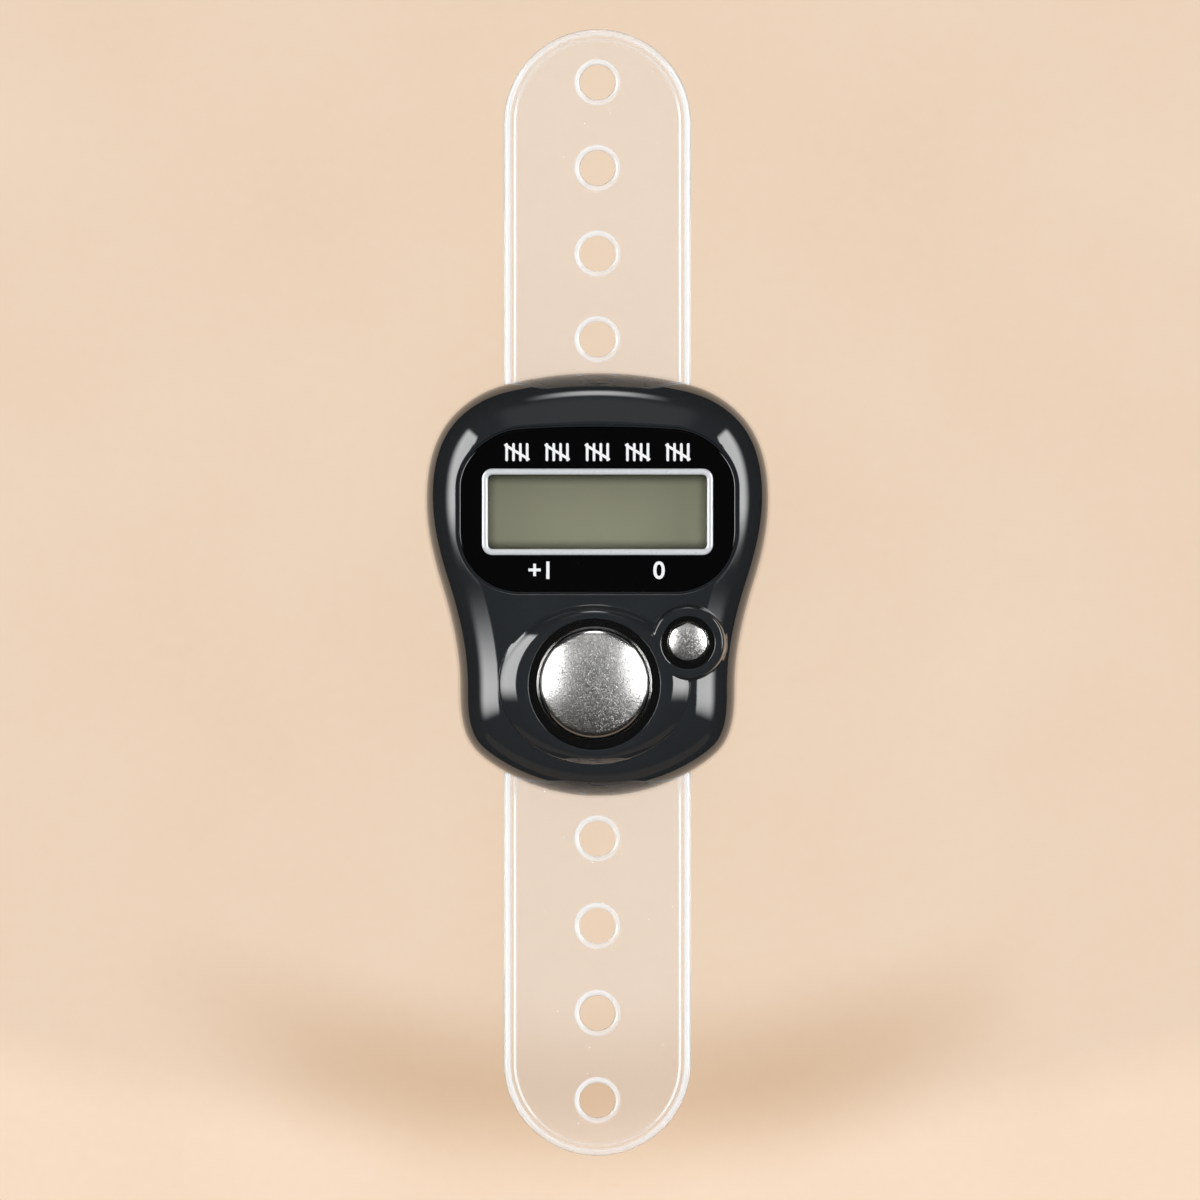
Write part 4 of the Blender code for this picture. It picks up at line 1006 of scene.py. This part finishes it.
# Moulded silicone: mid grey, satin, with a slight bloom (0.6 mm).
silicone, tree, shader, place = start_material("grey silicone, moulded", Roughness=0.55)
feed(shader, Base_Color=tint(tree, noise(tree, place, 1800.0), "#8E9092", "#9C9EA0"))

for name, middle, foot, room, room_height, joint, keep in (
    ("count_key_dome", COUNT_MIDDLE, 3.2, 1.45, 1.3, "count_press", 0.68),
    ("reset_key_dome", RESET_MIDDLE, 1.8, 0.75, 1.1, "reset_press", 0.78),
):
    top, web = room + DOME_WEB, foot - 2 * DOME_WEB
    profile = [(0.0, DOME_HEIGHT), (top - DOME_ROUND, DOME_HEIGHT)]
    for turn in np.linspace(0.0, math.pi / 2, DOME_ROUND_STEPS)[1:]:
        radius = top - DOME_ROUND * (1 - math.sin(turn))
        profile.append((radius, DOME_HEIGHT - DOME_ROUND * (1 - math.cos(turn))))
    profile += [(top, room_height + DOME_WEB), (web, DOME_FOOT), (foot, DOME_FOOT), (foot, 0.0)]
    profile += [(web - DOME_WEB / 2, 0.0), (room, room_height), (0.0, room_height)]
    dome = turned([(radius, DOME_Z + height) for radius, height in profile], middle, DOME_STEPS)
    piece = add_piece(name, to_mesh(dome, name), silicone, "grey_silicone", "case", name.replace("_key", ""))
    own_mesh(piece)


# BUTTONS
# Two ABS caps with satin chrome plating: a shallow dome blasted to a fine grain inside a narrow polished
# edge. Each has a flange behind the housing's wall and a plunger that sits on a silicone dome.

COUNT_RADIUS = 4.725
RESET_RADIUS = 1.7
POLISHED = 0.10
LIP_SHARE = 0.03
LIP_STEPS = 13
EDGE_STEPS = 14
DOME_SLOPE = 33.5
CAP_STEPS = 40
POLISH_FROM = 0.82
POLISH_OVER = 0.08
PLUNGER_Z = 10.1
FLANGE_Z = (10.55, 11.35)

# Satin chrome: pale warm metal, its grain blasted into the mould (fine wandering furrows 0.12 mm apart), its
# edge left polished.
satin, tree, shader, place = start_material("satin chrome plating, blasted", Metallic=1.0, Roughness=0.3)
edge = add_node(tree, "ShaderNodeAttribute", attribute_name="polish").outputs["Fac"]
grain = noise(tree, place, 5200.0, 1.0, Roughness=0.6)
level = reckon(tree, "ABSOLUTE", reckon(tree, "SUBTRACT", grain, 0.5))
furrow = ramp(tree, level, 0.0, 1.0, 0.0, 0.06, "SMOOTHSTEP")
feed(
    shader,
    Base_Color=tint(tree, edge, tint(tree, furrow, "#676562", "#ECEBE9"), "#DEDDDB"),
    Roughness=add_node(tree, "ShaderNodeMix", {0: edge, 2: ramp(tree, furrow, 0.52, 0.36), 3: 0.16}),
    Normal=bump(tree, furrow, ramp(tree, edge, 0.8, 0.0), 1.8e-5),
)


def button_mesh(name, middle, radius, flange, plunger, apex_z, steps):
    """A button's cap, plunger and flange, with its polished edge marked."""
    lip = radius * LIP_SHARE / 2
    top = radius - 2 * lip
    slope = math.radians(DOME_SLOPE)
    sphere = top * (1 - POLISHED) / math.sin(slope)
    bend = top * POLISHED / (1 - math.sin(slope))
    foot_z = apex_z - sphere * (1 - math.cos(slope)) - bend * math.cos(slope)
    profile = [(0.0, PLUNGER_Z), (plunger, PLUNGER_Z), (plunger, FLANGE_Z[0]), (flange, FLANGE_Z[0])]
    profile += [(flange, FLANGE_Z[1]), (radius, FLANGE_Z[1])]
    for turn in np.linspace(0.0, math.pi, LIP_STEPS):
        profile.append((radius - lip * (1 - math.cos(turn)), foot_z + lip * math.sin(turn)))
    for turn in np.linspace(math.pi / 2, slope, EDGE_STEPS)[1:]:
        profile.append((top - bend * (1 - math.sin(turn)), foot_z + bend * math.cos(turn)))
    for turn in np.linspace(slope, 0.0, CAP_STEPS)[1:]:
        profile.append((sphere * math.sin(turn), apex_z - sphere * (1 - math.cos(turn))))
    mesh = to_mesh(turned(profile, middle, steps), name)
    polish = mesh.attributes.new("polish", "FLOAT", "POINT")
    for vert, value in zip(mesh.vertices, polish.data):
        out = math.dist(vert.co[:2], [c * MM for c in middle]) / MM
        value.value = min(1.0, max(0.0, (out / radius - POLISH_FROM) / POLISH_OVER))
    return mesh


count_mesh = button_mesh(
    "count_cap", COUNT_MIDDLE, COUNT_RADIUS, flange=5.55, plunger=2.2, apex_z=15.3, steps=COUNT_STEPS
)
add_piece("count_cap", count_mesh, satin, "satin_plating", "count_key", "count_button")
reset_mesh = button_mesh(
    "reset_cap", RESET_MIDDLE, RESET_RADIUS, flange=2.35, plunger=1.1, apex_z=13.8, steps=RESET_STEPS
)
add_piece("reset_cap", reset_mesh, satin, "satin_plating", "reset_key", "reset_button")


# STRAP
# One band of clear soft PVC, die-cut with round ends, its edges rolled over and four perforations towards
# each end, threaded under the bridge. Its two halves meet there.

STRAP_HALF = 7.75
STRAP_Z = (1.05, 2.05)
STRAP_END = 46.7
STRAP_SPLIT_Y = 0.65
END_STEPS = 97
EDGE_ROLL = 0.45
ROLL_STEPS = 15
BORDER_INSET = (0.74, 1.08)
BORDER_RISE = 0.14
BORDER_STEPS = 9
MARGIN = 0.06
LOWER_FLAT = 0.2
UPPER_FLAT = 0.16
HOLE_RADIUS = 1.45
HOLE_ROUND = 0.42
HOLE_ROUND_STEPS = 8
HOLE_MARGIN = 0.1
HOLE_STEPS = 72
HOLE_COUNT = 4
TOP_HOLES = (21.0, 7.1)
BOTTOM_HOLES = (20.4, 7.23)
HINGES = (9.65, -8.35)
BEND_ROWS = (8.0, 15.0, 0.25)
NEAR_STEP = 0.8
FAR_STEP = 2.0
BEND_COLUMNS = (-6.0, 6.1, 1.0)

# Clear PVC: faintly milky, polished, with the slow ripple of extruded sheet (5 mm) and hairline handling
# marks. Its edges are whitened, partly as cutting and pressing whiten them and partly by painted highlights:
# whiter along its sides than round its ends, in a second line along the border, and whiter on the upper left
# of each hole.
pvc, tree, shader, place = start_material(
    "clear soft PVC, die-cut", IOR=1.45, Roughness=0.06, Base_Color=colour("#FFFFFF")
)
frost_and_highlight = add_node(tree, "ShaderNodeAttribute", attribute_name="frost_and_highlight").outputs["Fac"]
# Where the whitening and painted highlights lie, the clear PVC turns white.
feed(
    shader,
    Transmission_Weight=ramp(tree, frost_and_highlight, 0.905, 0.2),
    Roughness=ramp(tree, noise(tree, place, 1500.0, 5.0), 0.02, 0.05, 0.4, 0.75),
    Normal=bump(tree, noise(tree, place, 160.0), 0.5, 4e-6),
)

bore_tree, given = new_tree("perforations", ("First", "Float"), ("Pitch", "Float"), ("Holes", "Int"))
first, pitch = vector(bore_tree, Y=given["First"]), vector(bore_tree, Y=given["Pitch"])
end_tree(bore_tree, in_line(bore_tree, given["Geometry"], given["Holes"], first, pitch), pvc)


def strap_line(side, inset):
    """One half's outline drawn in, from the split round the end and back, as an open row."""
    half = STRAP_HALF - inset
    straight = STRAP_END - STRAP_HALF
    near, far = (STRAP_SPLIT_Y * side, BEND_ROWS[0], NEAR_STEP), (BEND_ROWS[1], straight, FAR_STEP)
    rows = stations(near, BEND_ROWS, far)
    turns = np.linspace(0.0, math.pi, END_STEPS)
    points = [(half, y) for y in rows]
    points += [(half * math.cos(t), straight + half * math.sin(t)) for t in turns]
    points += [(-half, y) for y in rows[::-1]]
    return np.array(points) * (1.0, side)


# Whitening by inset from the edge or from a hole, partly cut and pressed whitening and partly painted
# highlight: two bright lines, along the rolled edge and along the border.
EDGE_FROST_AND_HIGHLIGHT = ((0.0, 0.45, 0.6, 0.74, 0.82, 1.0, 1.12), (0.5, 0.85, 0.0, 0.0, 0.65, 0.5, 0.0))
HOLE_FROST_AND_HIGHLIGHT = ((0.0, 0.3, 0.42, 0.5), (0.5, 0.8, 0.6, 0.0))
TIP_HIGHLIGHT_SHARE = 0.4
HOLE_WEAR_AND_HIGHLIGHT = 0.75
HOLE_HIGHLIGHT_SIDE = 0.2


def strap_whiteness_and_highlight(x, y, hole_rows):
    """How whitened the strap is at a point, from cut and pressed edges and from painted highlights: along its
    edge and border, more at its sides than round its ends, and round its holes, more on their upper left.
    """
    beyond = max(abs(y) - (STRAP_END - STRAP_HALF), 0.0)
    out = math.hypot(x, beyond)
    # Painted highlight: the edge is whiter along the sides than round the tip.
    side_highlight_share = TIP_HIGHLIGHT_SHARE + (1 - TIP_HIGHLIGHT_SHARE) * (x / out) ** 2 if beyond else 1.0
    edge = side_highlight_share * np.interp(STRAP_HALF - out, *EDGE_FROST_AND_HIGHLIGHT)
    row = min(hole_rows, key=lambda row: abs(y - row))
    hole = math.hypot(x, y - row)
    # Painted highlight: each hole's ring is whiter on its upper left than on its lower right.
    worn_and_lit = HOLE_WEAR_AND_HIGHLIGHT - HOLE_HIGHLIGHT_SIDE * (x - (y - row)) / (hole + 1e-9)
    return max(edge, worn_and_lit * np.interp(hole - HOLE_RADIUS, *HOLE_FROST_AND_HIGHLIGHT))


def strap_half(name, side, hinge, first, pitch, body, *held):
    """Half the strap: rolled edge, raised border, flat faces with holes, and the holes' rounded walls."""
    low, high = STRAP_Z
    sunk = high - BORDER_RISE
    section = [(EDGE_ROLL + LOWER_FLAT, low), (EDGE_ROLL + MARGIN, low)]
    for turn in np.linspace(-math.pi / 2, math.pi / 2, ROLL_STEPS):
        height = (low + high) / 2 + (high - low) / 2 * math.sin(turn)
        section.append((EDGE_ROLL * (1 - math.cos(turn)), height))
    section += [(EDGE_ROLL + MARGIN, high), (EDGE_ROLL + UPPER_FLAT, high)]
    for share in np.linspace(0.0, 1.0, BORDER_STEPS):
        inset = BORDER_INSET[0] + share * (BORDER_INSET[1] - BORDER_INSET[0])
        section.append((inset, high - BORDER_RISE * (1 - math.cos(math.pi * share)) / 2))
    section.append((BORDER_INSET[1] + MARGIN, sunk))
    bm = bmesh.new()
    add_rows(bm, [at_height(strap_line(side, inset), z) for inset, z in section], closed=False)
    ends = [[(x * (STRAP_HALF - inset), STRAP_SPLIT_Y, z) for inset, z in section[::x]] for x in (1, -1)]
    bm.faces.new([bm.verts.new(point) for row in ends for point in row])

    hole_rows = [side * (first + pitch * i) for i in range(HOLE_COUNT)]
    rim = HOLE_RADIUS + HOLE_ROUND
    holes = [circle((0.0, row), rim + HOLE_MARGIN, HOLE_STEPS) for row in hole_rows]
    bends = [(x, side * y) for y in np.arange(*BEND_ROWS) for x in np.arange(*BEND_COLUMNS)]
    for (inset, _), height in ((section[0], low), (section[-1], sunk)):
        add_patch(bm, strap_line(side, inset)[::side], holes, lambda p: height, bends)
    wall = [(rim + HOLE_MARGIN, low)]
    for turn in np.linspace(0.0, math.pi / 2, HOLE_ROUND_STEPS):
        wall.append((rim - HOLE_ROUND * math.sin(turn), low + HOLE_ROUND * (1 - math.cos(turn))))
    wall += [(radius, low + sunk - height) for radius, height in wall[::-1]]
    bore = bmesh.new()
    add_rows(bore, [at_height(circle((0.0, 0.0), radius, HOLE_STEPS), height) for radius, height in wall])
    lined = {"First": hole_rows[0] * MM, "Pitch": side * pitch * MM, "Holes": HOLE_COUNT}
    bores = grow(to_mesh(bore, "bore"), bore_tree, lined)
    bores.transform(Matrix.Scale(1 / MM, 4))
    bm.from_mesh(bores)

    mesh = to_mesh(bm, name)
    frost_and_highlight = mesh.attributes.new("frost_and_highlight", "FLOAT", "POINT")
    frost_and_highlight.data.foreach_set("value", [strap_whiteness_and_highlight(v.co.x / MM, v.co.y / MM, hole_rows) for v in mesh.vertices])
    strap = add_piece(name, mesh, pvc, "clear_strap", None, *held)
    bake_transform(strap)
    strap.visible_shadow = strap.visible_diffuse = False


strap_half("strap_top", 1, HINGES[0], *TOP_HOLES, "strap_upper_end", "strap_middle", "strap_upper")
strap_half("strap_bottom", -1, HINGES[1], *BOTTOM_HOLES, "strap_lower_end", "strap_lower")


# STUDIO
# A pale paper sheet, a broad soft light from above for all that is matt, tall soft boxes left and right and a
# dim one at the top that the gloss mirrors, and a low warm card at the bottom.

# The painted light on the paper's front and the painted shadow before it: bends, edges and reaches in metres.
FRONT_BOW = -2.4
FRONT_EDGE = (-0.0405, -0.048)
FRONT_LIGHT = 1.11
SHADOW_BOW = -6.9
SHADOW_BELOW = 0.0418
SHADOW_WIDTH = 0.0095
SHADOW_REACH = (0.01, 0.04)

# Coated paper: warm beige, matt, with a soft uneven tone (about 12 mm) and fine fibres (0.4 mm). Painted
# light makes its front lighter beyond a curved edge, and a painted soft curved shadow lies before that edge.
# These places are in metres.
paper, tree, shader, place = start_material("beige coated paper, matt", Roughness=0.9, Specular_IOR_Level=0.1)
tone = noise(tree, place, 45.0, 5.0)
both = add_node(tree, "ShaderNodeMix", {0: 0.25, 2: tone, 3: noise(tree, place, 900.0, 3.0)})
split = add_node(tree, "ShaderNodeSeparateXYZ", {0: place})
square = reckon(tree, "MULTIPLY", split.outputs["X"], split.outputs["X"])
# Painted light: the paper's front is lighter beyond a curved edge.
bow = reckon(tree, "MULTIPLY_ADD", square, FRONT_BOW, split.outputs["Y"])
light = ramp(tree, bow, 1.0, FRONT_LIGHT, *FRONT_EDGE, "SMOOTHSTEP")
lit = tint(tree, 1.0, tint(tree, both, "#E6CBB0", "#F3DCC5"), light, "MULTIPLY")
# Painted shadow: a soft curved band that darkens the paper before its lighter front.
bow = reckon(tree, "MULTIPLY_ADD", square, SHADOW_BOW, split.outputs["Y"])
off = reckon(tree, "ABSOLUTE", reckon(tree, "ADD", bow, SHADOW_BELOW))
across = ramp(tree, off, 1.0, 0.0, 0.0, SHADOW_WIDTH, "SMOOTHSTEP")
along = ramp(tree, square, 1.0, 0.0, *(x**2 for x in SHADOW_REACH), "SMOOTHSTEP")
shadow = reckon(tree, "MULTIPLY", across, along)
feed(shader, Base_Color=tint(tree, shadow, lit, "#EDE4DA", "MULTIPLY"))

NEAR_SHEET = (26.0, 33.5)
FAR_SHEET = 4000.0
SHEET_STEPS = 96

for name, shares in (("sheet_near", (1e-5, 1.0)), ("sheet_far", (1.0, 5.0, FAR_SHEET / NEAR_SHEET[0]))):
    bm = bmesh.new()
    unit = circle((0.0, 0.0), 1.0, SHEET_STEPS)
    add_rows(bm, [at_height(unit * NEAR_SHEET * share, 0.0) for share in shares])
    bmesh.ops.remove_doubles(bm, verts=bm.verts, dist=0.01)
    bmesh.ops.scale(bm, vec=(MM, MM, MM), verts=bm.verts)
    for face in bm.faces:
        if face.normal.z < 0:
            face.normal_flip()
    mesh = bpy.data.meshes.new(name)
    bm.to_mesh(mesh)
    bm.free()
    mesh.materials.append(paper)
    sheet = add_object(name, mesh)
    sheet.visible_glossy = name == "sheet_near"


def add_light(name, kind, place, aim):
    """A lamp aimed at a point and seen by no camera."""
    lamp = add_object(name, bpy.data.lights.new(name, kind))
    back = np.array(place) - aim
    back /= np.linalg.norm(back)
    side = np.cross((0.0, 0.0, 1.0) if abs(back[2]) < 0.99 else (0.0, 1.0, 0.0), back)
    side /= np.linalg.norm(side)
    turn = np.eye(4)
    turn[:3] = np.column_stack([side, np.cross(back, side), back, place])
    lamp.matrix_world = Matrix(turn.tolist())
    lamp.visible_camera = False
    return lamp


SUN_SHARE = 0.88
SUN_ANGLE = math.radians(6)
MIRRORED_FILL = 0.008
sun = add_light("overhead", "SUN", (0.0, 0.0, 1.0), (0.0, 0.0, 0.0))
sun.data.energy = SUN_SHARE * math.pi
sun.data.angle = SUN_ANGLE
sun.visible_glossy = sun.visible_transmission = False
for name, place, size, radiance, tone, fades in (  # metres; fades across and up, as shares at each end
    ("left box", (-1.0, 0.34, 0.375), (1.28, 0.85), 9.5, "#FFFFFF", ((0.1, 0.22), (0.44, 0.09))),
    ("right box", (1.0, 0.34, 0.375), (1.28, 0.85), 9.5, "#FFFFFF", ((0.22, 0.1), (0.44, 0.09))),
    ("top panel", (0.0, 1.0, 0.95), (1.2, 1.7), 0.32, "#FFFFFF", ((0.3, 0.3), (0.2, 0.2))),
    ("top strip", (0.0, 1.0, 0.05), (0.46, 0.32), 7.0, "#FFFFFF", ((0.45, 0.45), (0.4, 0.4))),
    ("warm card", (0.0, -0.5, -0.03), (1.6, 0.24), 0.25, "#F0D7BE", ((0.1, 0.1), (0.1, 0.3))),
):
    box = add_light(name, "AREA", place, (0.0, place[1] if place[0] else 0.0, place[2]))
    box.data.shape = "RECTANGLE"
    box.data.size, box.data.size_y = size
    box.data.color = colour(tone)[:3]
    box.data.energy = radiance * math.pi * size[0] * size[1]
    box.data.use_nodes = True
    tree = box.data.node_tree
    spot = add_node(tree, "ShaderNodeNewGeometry").outputs["Parametric"]
    spot = add_node(tree, "ShaderNodeSeparateXYZ", {0: spot})
    glow = 1.0
    for at, (first, last) in zip(spot.outputs, fades):
        for value, full in ((at, first), (reckon(tree, "SUBTRACT", 1.0, at), last)):
            glow = reckon(tree, "MULTIPLY", glow, ramp(tree, value, 0.0, 1.0, 0.0, full, "SMOOTHSTEP"))
    feed(tree.nodes["Emission"], Strength=glow)
    box.visible_diffuse = False

world = bpy.data.worlds.new("studio")
bpy.context.scene.world = world
world.use_nodes = True
tree = world.node_tree
tree.nodes.clear()
rays = add_node(tree, "ShaderNodeLightPath")
seen = add_node(tree, "ShaderNodeBackground", {"Color": colour("#EFD7C0")})
fill = add_node(tree, "ShaderNodeBackground", {"Color": colour("#FFFFFF"), "Strength": 1 - SUN_SHARE})
dark = add_node(tree, "ShaderNodeBackground", {"Color": colour("#FFFFFF"), "Strength": MIRRORED_FILL})
mixed = add_node(tree, "ShaderNodeMixShader", {0: rays.outputs["Is Glossy Ray"], 1: fill, 2: dark})
mixed = add_node(tree, "ShaderNodeMixShader", {0: rays.outputs["Is Camera Ray"], 1: mixed, 2: seen})
add_node(tree, "ShaderNodeOutputWorld", {0: mixed})
